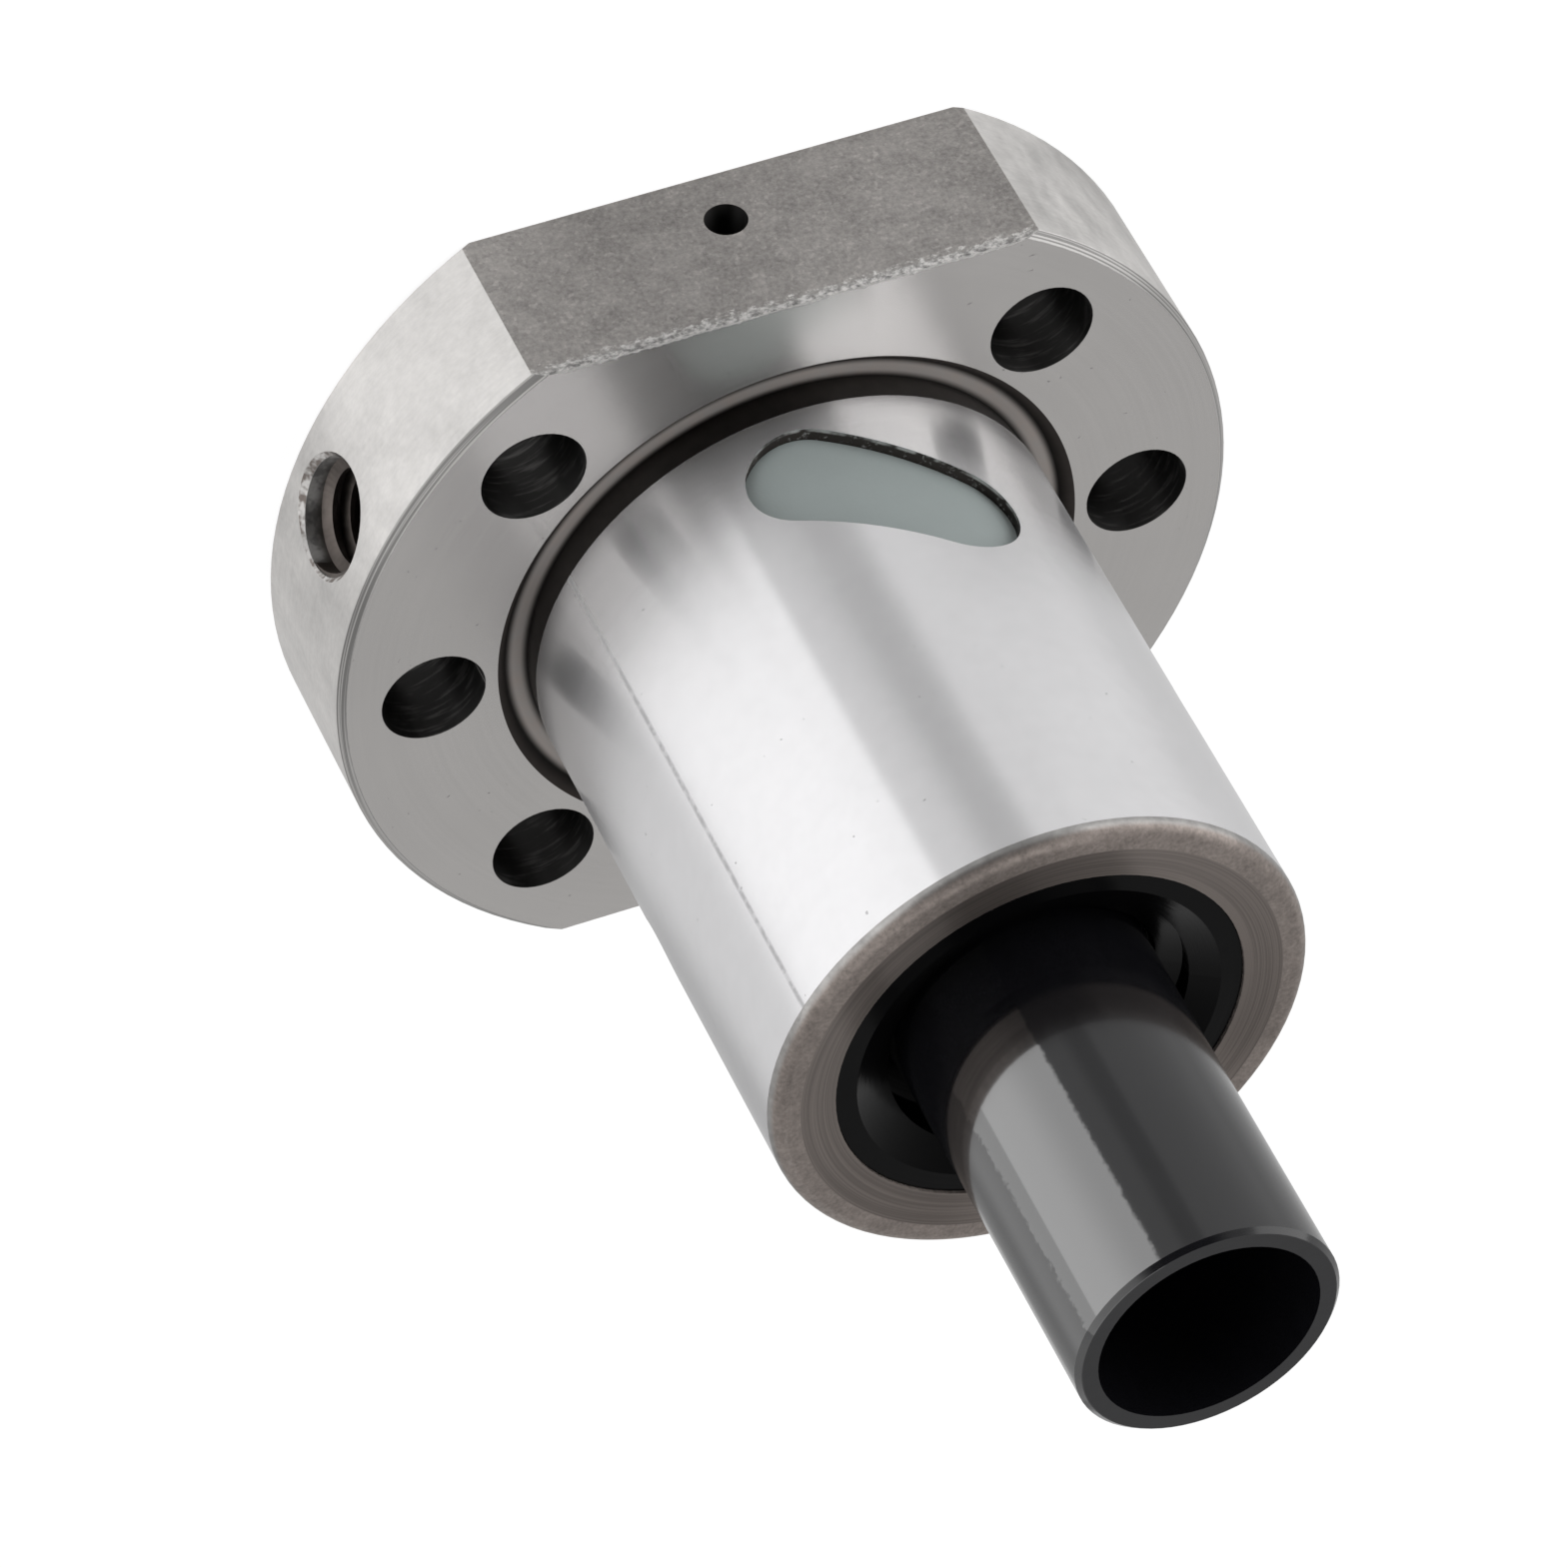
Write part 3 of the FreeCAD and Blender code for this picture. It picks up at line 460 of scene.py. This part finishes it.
def lay_body(tree, place, layers, colours):
    """The ground body: fine lines round it, faint stains, small pits and one dark broken line."""
    lines = tree.cloud(place.rings(7), 1.0, 3.0, 0.6)
    stains = tree.cloud(place.all, 7.0, 1.0)
    film = tree.cloud(place.all, 1.1, 4.0, 0.65)
    pits = tree.rise(tree.cloud(place.all, 0.4, 1.0), 0.78, 0.82)
    across, along = place.from_line(math.radians(DARK_LINE))
    broken = tree.rise(tree.cloud(place.all, 0.7, 4.0, 0.75), 0.4, 0.56)
    mark = tree.below(abs(across), 0.13, 0.09) * tree.above(along, 0) * (0.5 + 0.5 * broken)
    tone = 0.96 + 0.03 * lines + 0.08 * (stains - 0.5) + 0.08 * (film - 0.5)
    tone = tone - 0.35 * pits - 0.36 * mark
    mask = tree.between(place.r, BODY_RADIUS - 2 * SPLIT, BODY_RADIUS + 2 * SPLIT)
    mask = mask * tree.between(place.z, FRONT + RELIEF_TOP, NOSE - NOSE_RADIUS)
    roughness = 0.255 + 0.04 * (lines - 0.5) + 0.04 * (stains - 0.5) + 0.12 * mark
    layers.lay(mask, tree.shade(colours.ground, tone), roughness, 1.0, 0.25 * lines - pits)


def lay_rim(tree, place, layers, colours):
    """The rim, blotched along its turning lines, and the finely lined chamfers beside it."""
    lines = tree.cloud(place.rings(6), 1.0, 2.0)
    blotches = tree.cloud(tree.vector(place.x, place.y, place.z * 0.7), 2.2, 5.0, 0.65)
    specks = tree.cloud(tree.vector(place.x, place.y, place.z * 2), 0.5, 3.0, 0.6)
    tone = 0.9 + 0.1 * lines + 0.62 * (blotches - 0.5) + 0.24 * (specks - 0.5)
    outer = tree.above(place.r, FLANGE_RADIUS - RIM_CHAMFER)
    turning = tree.vector(place.x * 0.05, place.y * 0.05, (place.z - place.r) * 8)
    grooves = tree.rise(tree.cloud(turning, 1.0, 1.0), 0.42, 0.58)
    chamfer_tone = 0.36 + 0.42 * grooves
    layers.lay(outer, tree.shade(colours.rim, chamfer_tone), 0.4, 0.95, grooves)
    rim = tree.above(place.r, FLANGE_RADIUS - 2 * SPLIT)
    roughness = 0.42 + 0.25 * (blotches - 0.5)
    layers.lay(rim, tree.shade(colours.rim, tone), roughness, 1.0, 0.4 * lines)


def lay_flats(tree, place, layers, colours):
    """The flats: mottled grey scale, and torn bright metal along the front edge."""
    grain = tree.cloud(place.all, 0.26, 4.0, 0.7)
    patches = tree.cloud(place.all, 1.5, 4.0, 0.65)
    specks = tree.rise(tree.cloud(place.all, 0.3, 2.0), 0.58, 0.68)
    tone = 0.88 + 0.7 * (patches - 0.5) + 1.1 * (grain - 0.5) + 0.2 * specks
    torn = tree.cloud(tree.vector(place.x, place.y, place.z * 1.6), 0.5, 5.0, 0.75)
    edge = tree.rise(place.z + 2.4 * (torn - 0.5), FRONT - 0.7, FRONT - 0.35)
    ragged = tree.rise(torn, 0.36, 0.62)
    bare = tree.shade(colours.rim, 0.3 + 0.95 * ragged)
    colour = tree.blend(edge, tree.shade(colours.flat, tone), bare)
    mask = tree.above(abs(place.y), FLAT_OFFSET - SPLIT, SPLIT / 2)
    roughness = tree.mix(edge, 0.55 + 0.25 * (grain - 0.5), 0.42)
    metal = tree.mix(edge, 0.6, 0.95)
    relief = tree.mix(edge, 2.0 * grain, 4 * torn)
    layers.lay(mask, colour, roughness, metal, relief)


def lay_relief(tree, place, layers, colours):
    """The relief beside the body: black scale with painted shade at its edges, and bare steel with
    a painted highlight down the middle of its floor.
    """
    stains = tree.cloud(place.all, 0.9, 2.0)
    inner, outer = BODY_RADIUS - RELIEF_UNDERCUT, BODY_RADIUS + RELIEF_WIDTH
    ring = tree.between(place.r, inner - 0.1, outer)
    ring = ring * tree.between(place.z, FRONT - RELIEF_DEPTH - 0.1, FRONT + RELIEF_TOP)
    # Painted shade: the black scale is darkest in the corners and lighter up the outer slope.
    slope = tree.above(place.r, outer - 0.4, 0.3)
    dark = tree.shade(colours.scale, 0.04 + 0.06 * stains + 0.2 * slope)
    layers.lay(ring, dark, 0.4, 0.8)
    # Painted highlight: bare steel in a band down the middle of the floor, standing in for a
    # rounded groove.
    middle = (inner + outer - RELIEF_DEPTH) / 2
    floor = ring * (1 - tree.rise(abs(place.r - middle), 0.15, 0.6))
    floor = floor * tree.below(place.z, FRONT - RELIEF_DEPTH + 0.35, 0.3)
    bare = tree.blend(stains, tree.shade(colours.scale, 1.7), tree.shade(colours.rim, 0.8))
    layers.lay(floor, bare, 0.42, 0.8)


def lay_windows(tree, place, layers, colours):
    """The windows round the return inserts: brown specked walls and painted glints in bright
    patches along the lip.
    """
    specks = tree.rise(tree.cloud(place.all, 0.35, 4.0, 0.7), 0.56, 0.7)
    walls = tree.between(place.r, SEAT_RADIUS, BODY_RADIUS - 2 * SPLIT)
    walls = walls * tree.between(place.z, FRONT + RELIEF_TOP, NOSE - SEAT_DEPTH)
    brown = tree.shade(colours.scale, 0.22)
    colour = tree.blend(specks, brown, tree.shade(colours.rim, 0.7))
    layers.lay(walls, colour, 0.36, 0.9)
    # Painted glints: bright steel in patches along the windows' outer lip.
    worn = tree.rise(tree.cloud(place.all, 1.1, 2.0, 0.7), 0.36, 0.6)
    painted_glints = walls * tree.above(place.r, BODY_RADIUS - 0.2, 0.05) * worn
    layers.lay(painted_glints, tree.shade(colours.rim, 1.15), 0.3, 1.0)


def lay_nose(tree, place, layers, colours):
    """The nose: brown scale, a worn outer edge and turning lines on the cone inside."""
    patches = tree.cloud(place.all, 0.9, 5.0, 0.65)
    grain = tree.cloud(place.all, 0.22, 3.0, 0.65)
    end = tree.above(place.z, NOSE - NOSE_RADIUS)
    tone = 0.86 + 0.7 * (patches - 0.5) + 0.9 * (grain - 0.5)
    layers.lay(end, tree.shade(colours.scale, tone), 0.4, 0.9, 1.2 * grain)
    rounding = end * tree.above(place.r, BODY_RADIUS - 0.1, 0.09)
    layers.lay(rounding, tree.shade(colours.rim, 0.5 + 0.6 * (patches - 0.5)), 0.3, 1.0)
    turning = tree.rise(tree.cloud(place.rings(12), 1.0, 1.0), 0.38, 0.62)
    cone = end * tree.between(place.r, SEAT_RADIUS, CONE_RADIUS)
    layers.lay(cone, tree.shade(colours.scale, 0.5 + 0.16 * turning), 0.34, 0.95, 0.3 * turning)


def lay_holes(tree, place, layers, colours):
    """The flange's bores, dark and scratched and lighter on one side as painted light, and its
    port, bare and worn at the mouth.
    """
    scratch = tree.cloud(tree.vector(place.x * 0.5, place.y * 0.5, place.z * 4), 1.0, 4.0)
    bright = tree.rise(scratch, 0.5, 0.72)
    holes = hole_mask(tree, place)
    # Painted light: each bore's wall is lighter on its side towards +y.
    side = tree.maths("SIGN", place.y) * tree.below(abs(place.x), HOLE_CIRCLE - HOLE_RADIUS)
    painted_light_side = tree.above(place.y - HOLE_SQUARE * side, 0.9, 0.6)
    dark = tree.shade(colours.rim, 0.065 + 0.8 * painted_light_side)
    colour = tree.blend(bright, dark, tree.shade(colours.rim, 0.2 + 0.6 * painted_light_side))
    layers.lay(holes, colour, 0.38, 0.9)
    port, mouth = port_mask(tree, place)
    worn = tree.rise(tree.cloud(place.all, 0.7, 2.0, 0.7), 0.4, 0.6)
    bare = tree.blend(worn, tree.shade(colours.scale, 0.6), tree.shade(colours.rim, 0.95))
    layers.lay(mouth, bare, 0.36, 0.95)
    _, along = place.from_line(PORT_DIRECTION)
    near_mouth = tree.above(along, FLANGE_RADIUS - PORT_COUNTERSINK - 0.7, 0.35)
    wall = tree.shade(colours.rim, 0.4 + 0.3 * worn)
    wall = tree.blend(near_mouth, tree.shade(colours.scale, 0.3), wall)
    layers.lay(port, wall, 0.4, 0.9)
    layers.lay(screw_hole_mask(tree, place), tree.shade(colours.black, 0.5), 0.5, 0.5)


class BALLNUT_OT_nut_body(bpy.types.Operator):
    """Gives the nut its ground, turned and scaled steel"""

    bl_idname = "ball_nut.nut_body"
    bl_label = "Nut Body"

    def execute(self, context):
        colours = context.scene.ball_nut_finish
        material, tree = new_material("nut_steel")
        place = Place(tree)
        wall = tree.cloud(place.rings(4), 1.0, 1.0)
        inside = tree.shade(colours.turned, 0.3 + 0.3 * wall)
        layers = Layers(tree, inside, 0.35 + 0.1 * wall, 1.0)
        lay_turned_faces(tree, place, layers, colours)
        lay_rim(tree, place, layers, colours)
        lay_relief(tree, place, layers, colours)
        lay_windows(tree, place, layers, colours)
        lay_body(tree, place, layers, colours)
        lay_nose(tree, place, layers, colours)
        lay_flats(tree, place, layers, colours)
        lay_holes(tree, place, layers, colours)
        tree.finish({
            "Base Color": layers.colour, "Roughness": layers.roughness, "Metallic": layers.metal,
            "Anisotropic": 0.93, "Anisotropic Rotation": 0.25,
            "Normal": tree.bump(layers.relief, 0.004),
        })
        wear(["nut_body"], material)
        return {"FINISHED"}


class BALLNUT_OT_port_thread(bpy.types.Operator):
    """Winds the thread's ridge inside the lubrication port"""

    bl_idname = "ball_nut.port_thread"
    bl_label = "Port Thread"

    def execute(self, context):
        sizes, colours, _ = settings()
        material, tree = new_material("port_steel")
        place = Place(tree)
        stains = tree.cloud(place.all, 0.7, 3.0)
        tree.finish({
            "Base Color": tree.shade(colours.scale, 0.16 + 0.36 * stains),
            "Roughness": 0.32 + 0.15 * stains, "Metallic": 0.95,
            "Normal": tree.bump(stains, 0.01),
        })
        new_piece("port_thread", thread_ridge(sizes), material, "nut")
        return {"FINISHED"}


def thread_ridge(sizes):
    """A helical ridge on the port's wall, thinning out at both ends."""
    pitch = sizes.thread_pitch
    root = PORT_RADIUS * MM
    segments = sizes.thread_segments
    start = (FLANGE_RADIUS - PORT_COUNTERSINK - THREAD_SETBACK) * MM
    turns = (PORT_DEPTH * MM - 2 * pitch) / pitch
    count = int(turns * segments)
    turn_to_port = PORT_AXIS.to_track_quat("Z", "Y").to_matrix()
    axis_height = Vector((0, 0, PORT_HEIGHT * MM))
    quarter_turn = segments / 4
    half_root = THREAD_HALF_ROOT * pitch
    sections = []
    for number in range(count + 1):
        angle = 2 * math.pi * number / segments
        depth = start - pitch * number / segments
        share = min(1.0, number / quarter_turn, (count - number) / quarter_turn)
        share = max(share, THREAD_THINNEST)
        crest = root - sizes.thread_depth * share
        half_crest = half_root + (THREAD_HALF_CREST * pitch - half_root) * share
        section = []
        for radius, shift in ((root, -half_root), (crest, -half_crest),
                              (crest, half_crest), (root, half_root)):
            spot = Vector((radius * math.cos(angle), radius * math.sin(angle), depth + shift))
            section.append(turn_to_port @ spot + axis_height)
        sections.append(section)
    return skin_of("port_thread", sections)


class BALLNUT_OT_flat_burr(bpy.types.Operator):
    """Adds the torn burr along the front edge of the upper flat"""

    bl_idname = "ball_nut.flat_burr"
    bl_label = "Burr on the Flat"

    def execute(self, context):
        sizes, colours, _ = settings()
        material, tree = new_material("burr_steel")
        place = Place(tree)
        torn = tree.cloud(place.all, 0.25, 3.0)
        tree.finish({
            "Base Color": tree.shade(colours.rim, 0.55 + 0.6 * torn),
            "Roughness": 0.4, "Metallic": 0.95, "Normal": tree.bump(torn, 0.03),
        })
        new_piece("flat_edge_burr", burr_strip(sizes), material, "nut")
        return {"FINISHED"}


def burr_strip(sizes):
    """A low uneven crest on the edge between the flat and the flange's face."""
    reach = math.sqrt((FLANGE_RADIUS - RIM_CHAMFER) ** 2 - FLAT_OFFSET ** 2) * MM
    edge = FLAT_OFFSET * MM
    face = FRONT * MM
    skin = BURR_SKIN * MM
    sections = []
    for number in range(sizes.burr_steps + 1):
        along = reach * (2 * number / sizes.burr_steps - 1)
        spot = Vector((along / MM, 0, 0))
        swell = 0.5 + 0.5 * noise.noise(spot * 0.55)
        lump = 0.5 + 0.5 * noise.noise(spot * 2.7 + Vector((0, 9, 0)))
        tear = 0.5 + 0.5 * noise.noise(spot * 6.1 + Vector((0, 0, 5)))
        share = max(0.06, swell * (0.35 * lump + 0.65 * tear * lump * 2))
        ends = min(1.0, number / BURR_FADE, (sizes.burr_steps - number) / BURR_FADE)
        height = sizes.burr_height * share * ends
        width = sizes.burr_width * (0.25 + 0.75 * share) * ends
        section = ((edge - skin, face - 0.1 * MM), (edge - skin, face + 0.5 * height),
                   (edge - 0.25 * width, face + height + skin),
                   (edge - 0.7 * width, face + 0.7 * height + skin),
                   (edge - width - skin, face - 0.02 * MM))
        sections.append([(along, y, z) for y, z in section])
    mesh = skin_of("flat_edge_burr", sections)
    mesh.shade_smooth()
    return mesh


class BALLNUT_OT_return_inserts(bpy.types.Operator):
    """Gives the return inserts their grey-green moulded plastic"""

    bl_idname = "ball_nut.return_inserts"
    bl_label = "Return Inserts"

    def execute(self, context):
        colours = context.scene.ball_nut_finish
        material, tree = new_material("insert_plastic")
        place = Place(tree)
        flow = tree.cloud(place.all, 2.5, 3.0)
        grain = tree.cloud(place.all, 0.12, 2.0)
        tree.finish({
            "Base Color": tree.shade(colours.insert, 0.92 + 0.1 * flow + 0.06 * grain),
            "Roughness": 0.42 + 0.12 * grain, "IOR": 1.49, "Subsurface Weight": 0.15,
            "Subsurface Radius": (0.001, 0.001, 0.001),
            "Normal": tree.bump(grain + 2 * flow, 0.006),
        })
        wear(nodes_called("return_insert"), material)
        return {"FINISHED"}


class BALLNUT_OT_balls(bpy.types.Operator):
    """Polishes the balls"""

    bl_idname = "ball_nut.balls"
    bl_label = "Balls"

    def execute(self, context):
        material, tree = new_material("polished_ball_steel")
        place = Place(tree)
        film = tree.cloud(place.all, 1.5, 3.0)
        tree.finish({
            "Base Color": tree.blend(film, (0.72, 0.72, 0.73), (0.8, 0.79, 0.77)),
            "Roughness": 0.06 + 0.08 * film, "Metallic": 1.0,
            "Normal": tree.bump(film, 0.001),
        })
        wear(nodes_called("ball_"), material)
        return {"FINISHED"}


class BALLNUT_OT_wipers(bpy.types.Operator):
    """Gives the wipers their glossy black plastic"""

    bl_idname = "ball_nut.wipers"
    bl_label = "Wipers"

    def execute(self, context):
        colours = context.scene.ball_nut_finish
        material, tree = new_material("wiper_plastic")
        place = Place(tree)
        rings = tree.cloud(place.rings(3), 1.0, 2.0)
        haze = tree.cloud(place.all, 1.8, 3.0)
        tree.finish({
            "Base Color": tree.shade(colours.wiper, 0.8 + 0.5 * haze),
            "Roughness": 0.1 + 0.08 * haze + 0.04 * rings, "IOR": 1.17,
            "Normal": tree.bump(rings + haze, 0.006),
        })
        wear(nodes_called("wiper_flange") + nodes_called("wiper_nose"), material)
        return {"FINISHED"}


class BALLNUT_OT_wiper_screw(bpy.types.Operator):
    """Blackens the screw that holds the wiper"""

    bl_idname = "ball_nut.wiper_screw"
    bl_label = "Wiper Screw"

    def execute(self, context):
        colours = context.scene.ball_nut_finish
        material, tree = new_material("blackened_steel")
        place = Place(tree)
        oxide = tree.cloud(place.all, 0.3, 3.0)
        tree.finish({
            "Base Color": tree.shade(colours.black, 1.0 + 1.2 * oxide),
            "Roughness": 0.38 + 0.2 * oxide, "Metallic": 0.8,
            "Normal": tree.bump(oxide, 0.004),
        })
        wear(["wiper_set_screw"], material)
        return {"FINISHED"}


class BALLNUT_OT_sleeve(bpy.types.Operator):
    """Gives the transit sleeve its glossy, scuffed charcoal plastic"""

    bl_idname = "ball_nut.sleeve"
    bl_label = "Transit Sleeve"

    def execute(self, context):
        colours = context.scene.ball_nut_finish
        material, tree = new_material("sleeve_plastic")
        place = Place(tree)
        draw = tree.cloud(place.streaks(3.0), 1.0, 3.0)
        scuffs = tree.cloud(tree.vector(place.x, place.y, place.z * 0.45), 0.8, 4.0, 0.65)
        waves = tree.cloud(tree.vector(place.x, place.y, place.z * 0.3), 3.5, 2.0)
        ragged = 1.3 * (tree.cloud(place.all, 0.5, 5.0, 0.75) - 0.5)
        left, left_along = place.from_line(math.radians(SLEEVE_POLISH_START))
        right, right_along = place.from_line(math.radians(SLEEVE_SCUFF_END))
        middle, _ = place.from_line(math.radians(SLEEVE_POLISH_FADE))
        back, _ = place.from_line(math.radians(SLEEVE_BACK))
        polished = tree.above(left + ragged, 0.0, 0.1) * tree.above(left_along, 0)
        worn = tree.below(right - 0.4 * ragged, 0.0, 0.12) * tree.above(right_along, -2)
        dull = 0.4 - 0.28 * tree.below(back, 0.8, 1.6)
        polish = 0.87 - 0.25 * tree.rise(middle, -1.4, 0.9)
        skin = 0.05 + dull * worn + (polish - dull) * worn * polished
        outside = tree.above(place.r, SLEEVE_RADIUS - 0.3)
        tree.finish({
            "Base Color": tree.shade(colours.sleeve, 0.7 + 0.6 * scuffs),
            "Roughness": 0.1 + 0.03 * draw + 0.08 * scuffs,
            "Coat Weight": skin * outside, "Coat Roughness": 0.06, "Coat IOR": 2.8,
            "Normal": tree.bump(waves * 3 + scuffs * 0.4, 0.006),
        })
        wear(["transit_sleeve"], material)
        return {"FINISHED"}


class BALLNUT_OT_stage(bpy.types.Operator):
    """Builds the floor, the lamps, the white surroundings and the camera"""

    bl_idname = "ball_nut.stage"
    bl_label = "Stage"

    def execute(self, context):
        studio = context.scene.ball_nut_studio
        make_floor(studio)
        make_world()
        for panel in PANELS:
            make_panel(*panel)
        make_overhead()
        make_camera(studio)
        return {"FINISHED"}


def make_floor(studio):
    """A white floor that keeps the nut's shadow, with the light it shows in the steel."""
    material, tree = new_material("studio_floor")
    place = Place(tree)
    lit = tree.node("ShaderNodeBsdfDiffuse", None, {"Color": opaque(studio.floor)})
    path = tree.node("ShaderNodeLightPath").socket.node.outputs
    camera, glossy, through = (
        Shade(tree, path[name])
        for name in ("Is Camera Ray", "Is Glossy Ray", "Is Transmission Ray"))
    mirrored = tree.maths("MAXIMUM", glossy, through)
    level = tree.mix(mirrored, FLOOR_GLOW, mirrored_floor(tree, place))
    glow = tree.node("ShaderNodeEmission", None, {"Color": (1, 1, 1, 1), "Strength": level})
    seen = tree.maths("MAXIMUM", camera, mirrored)
    mixed = tree.node("ShaderNodeMixShader", None, {0: GLOW_SHARE * seen, 1: lit, 2: glow})
    tree.node("ShaderNodeOutputMaterial", None, {"Surface": mixed})
    mesh = bpy.data.meshes.new("studio_floor")
    half = studio.floor_size / 2
    corners = [(-half, -half, 0), (half, -half, 0), (half, half, 0), (-half, half, 0)]
    mesh.from_pydata(corners, [], [(0, 1, 2, 3)])
    mesh.materials.append(material)
    floor = bpy.data.objects.new("studio_floor", mesh)
    bpy.context.scene.collection.objects.link(floor)


def mirrored_floor(tree, place):
    """The floor's brightness in the steel: a bright card on one side, a grey gap beside it."""
    gap_level, open_level, right_level = RIGHT_LEVELS
    low_level, left_level, far_level = LEFT_LEVELS
    right_edge, _ = place.from_line(math.radians(CARD_RIGHT))
    left_edge, _ = place.from_line(math.radians(CARD_LEFT))
    left_edge = left_edge + 6.5 * tree.rise(place.r, 29.0, 35.0)
    card = tree.below(right_edge, 0.56, 0.7) * tree.above(left_edge, 15.5, 0.8)
    gap, gap_along = place.from_line(math.radians(RIGHT_GAP))
    open_floor = tree.rise(gap, -8.0, 0.0) * tree.above(gap_along, 0)
    pale = tree.mix(open_floor, gap_level, open_level)
    right = tree.mix(tree.rise(place.y, 0.0, 18.0), right_level, pale)
    # Painted shadow: the floor as the steel mirrors it is darker near the nut on its right.
    painted_shadow = tree.below(place.r, 38.0, 6.0) * tree.rise(place.x, 10.0, 24.0)
    right = right * (1 - painted_shadow * (0.12 + 0.5 * tree.rise(place.y, 3.0, 17.0)))
    away, _ = place.from_line(math.radians(LEFT_FADE))
    left = tree.mix(tree.rise(away, -16.0, 14.0), low_level, left_level)
    beyond, _ = place.from_line(math.radians(FAR_SIDE))
    left = tree.mix(tree.rise(beyond, -6.0, 8.0), far_level, left)
    base = tree.mix(tree.above(place.x, -8, 8), left, right)
    return tree.mix(card, base, CARD_LEVEL)


def make_world():
    """Pale at the horizon, darker overhead and in one dark gap, plain white to the camera."""
    world = bpy.data.worlds.new("studio")
    bpy.context.scene.world = world
    tree = ShaderTree(world)
    direction = tree.node("ShaderNodeTexCoord", None, None, "Generated")
    parts = tree.node("ShaderNodeSeparateXYZ", None, {"Vector": direction}).socket.node.outputs
    east, north, height = (Shade(tree, socket) for socket in parts)
    horizon, overhead, dark = SKY_LEVELS
    sky = tree.mix(tree.rise(height, 0.05, 0.9), horizon, overhead)
    azimuth, elevation = (math.radians(angle) for angle in SKY_GAP)
    towards = (east * (math.cos(azimuth) * math.cos(elevation))
               + north * (math.sin(azimuth) * math.cos(elevation))
               + height * math.sin(elevation))
    sky = tree.mix(tree.rise(towards, 0.79, 0.92), sky, dark)
    camera = Shade(tree, tree.node("ShaderNodeLightPath").socket.node.outputs["Is Camera Ray"])
    level = tree.mix(camera, sky, 1.0)
    glow = tree.node("ShaderNodeBackground", None, {"Color": (1, 1, 1, 1), "Strength": level})
    tree.node("ShaderNodeOutputWorld", None, {"Surface": glow})


def make_panel(name, direction, distance, height, width, tall, radiance):
    """A soft upright lamp that faces the nut."""
    lamp = bpy.data.lights.new(name, "AREA")
    lamp.shape = "RECTANGLE"
    lamp.size = width
    lamp.size_y = tall
    lamp.energy = radiance * math.pi * width * tall
    angle = math.radians(direction)
    panel = bpy.data.objects.new(name, lamp)
    panel.location = (distance * math.cos(angle), distance * math.sin(angle), height)
    towards = Vector((0, 0, height)) - panel.location
    panel.rotation_euler = towards.to_track_quat("-Z", "Y").to_euler()
    panel.visible_camera = False
    bpy.context.scene.collection.objects.link(panel)


def make_overhead():
    """A wide soft lamp above the nut."""
    edge, height, radiance = OVERHEAD
    lamp = bpy.data.lights.new("overhead_panel", "AREA")
    lamp.size = edge
    lamp.energy = radiance * math.pi * edge ** 2
    panel = bpy.data.objects.new("overhead_panel", lamp)
    panel.location = (0, 0, height)
    panel.visible_camera = False
    bpy.context.scene.collection.objects.link(panel)


def make_camera(studio):
    """The camera above the nose, turned about its own line of sight."""
    camera_data = bpy.data.cameras.new("camera")
    camera_data.lens = studio.lens
    camera_data.sensor_width = SENSOR_WIDTH
    camera_data.clip_start = NEAREST
    camera_data.clip_end = FARTHEST
    camera = bpy.data.objects.new("camera", camera_data)
    azimuth, elevation = studio.azimuth, studio.elevation
    back = Vector((math.sin(azimuth) * math.cos(elevation),
                   -math.cos(azimuth) * math.cos(elevation), math.sin(elevation)))
    camera.location = Vector(studio.target) + back * studio.distance
    camera.rotation_mode = "QUATERNION"
    upright = (-back).to_track_quat("-Z", "Y")
    camera.rotation_quaternion = upright @ Quaternion((0, 0, 1), studio.roll)
    bpy.context.scene.collection.objects.link(camera)
    bpy.context.scene.camera = camera
    bpy.context.scene.view_settings.view_transform = "Standard"


STEPS = (
    BALLNUT_OT_nut_body, BALLNUT_OT_port_thread, BALLNUT_OT_flat_burr,
    BALLNUT_OT_return_inserts, BALLNUT_OT_balls, BALLNUT_OT_wipers, BALLNUT_OT_wiper_screw,
    BALLNUT_OT_sleeve, BALLNUT_OT_stage,
)


class BALLNUT_PT_panel(bpy.types.Panel):
    """Lists the steps and the values in the 3D view's sidebar"""

    bl_idname = "BALLNUT_PT_panel"
    bl_label = "Ball Screw Nut"
    bl_space_type = "VIEW_3D"
    bl_region_type = "UI"
    bl_category = "Ball Nut"

    def draw(self, context):
        layout = self.layout
        for step in STEPS:
            layout.operator(step.bl_idname)
        for group in settings():
            box = layout.box()
            for name in group.__annotations__:
                box.prop(group, name)


GROUPS = (
    ("ball_nut_sizes", NutSizes), ("ball_nut_finish", NutFinish), ("ball_nut_studio", NutStudio),
)


def register():
    for name, group in GROUPS:
        bpy.utils.register_class(group)
        setattr(bpy.types.Scene, name, PointerProperty(type=group))
    for step in STEPS:
        bpy.utils.register_class(step)
    bpy.utils.register_class(BALLNUT_PT_panel)


def unregister():
    bpy.utils.unregister_class(BALLNUT_PT_panel)
    for step in reversed(STEPS):
        bpy.utils.unregister_class(step)
    for name, group in reversed(GROUPS):
        delattr(bpy.types.Scene, name)
        bpy.utils.unregister_class(group)


def main():
    register()
    for step in STEPS:
        group, name = step.bl_idname.split(".")
        getattr(getattr(bpy.ops, group), name)()


if __name__ == "__main__":
    main()
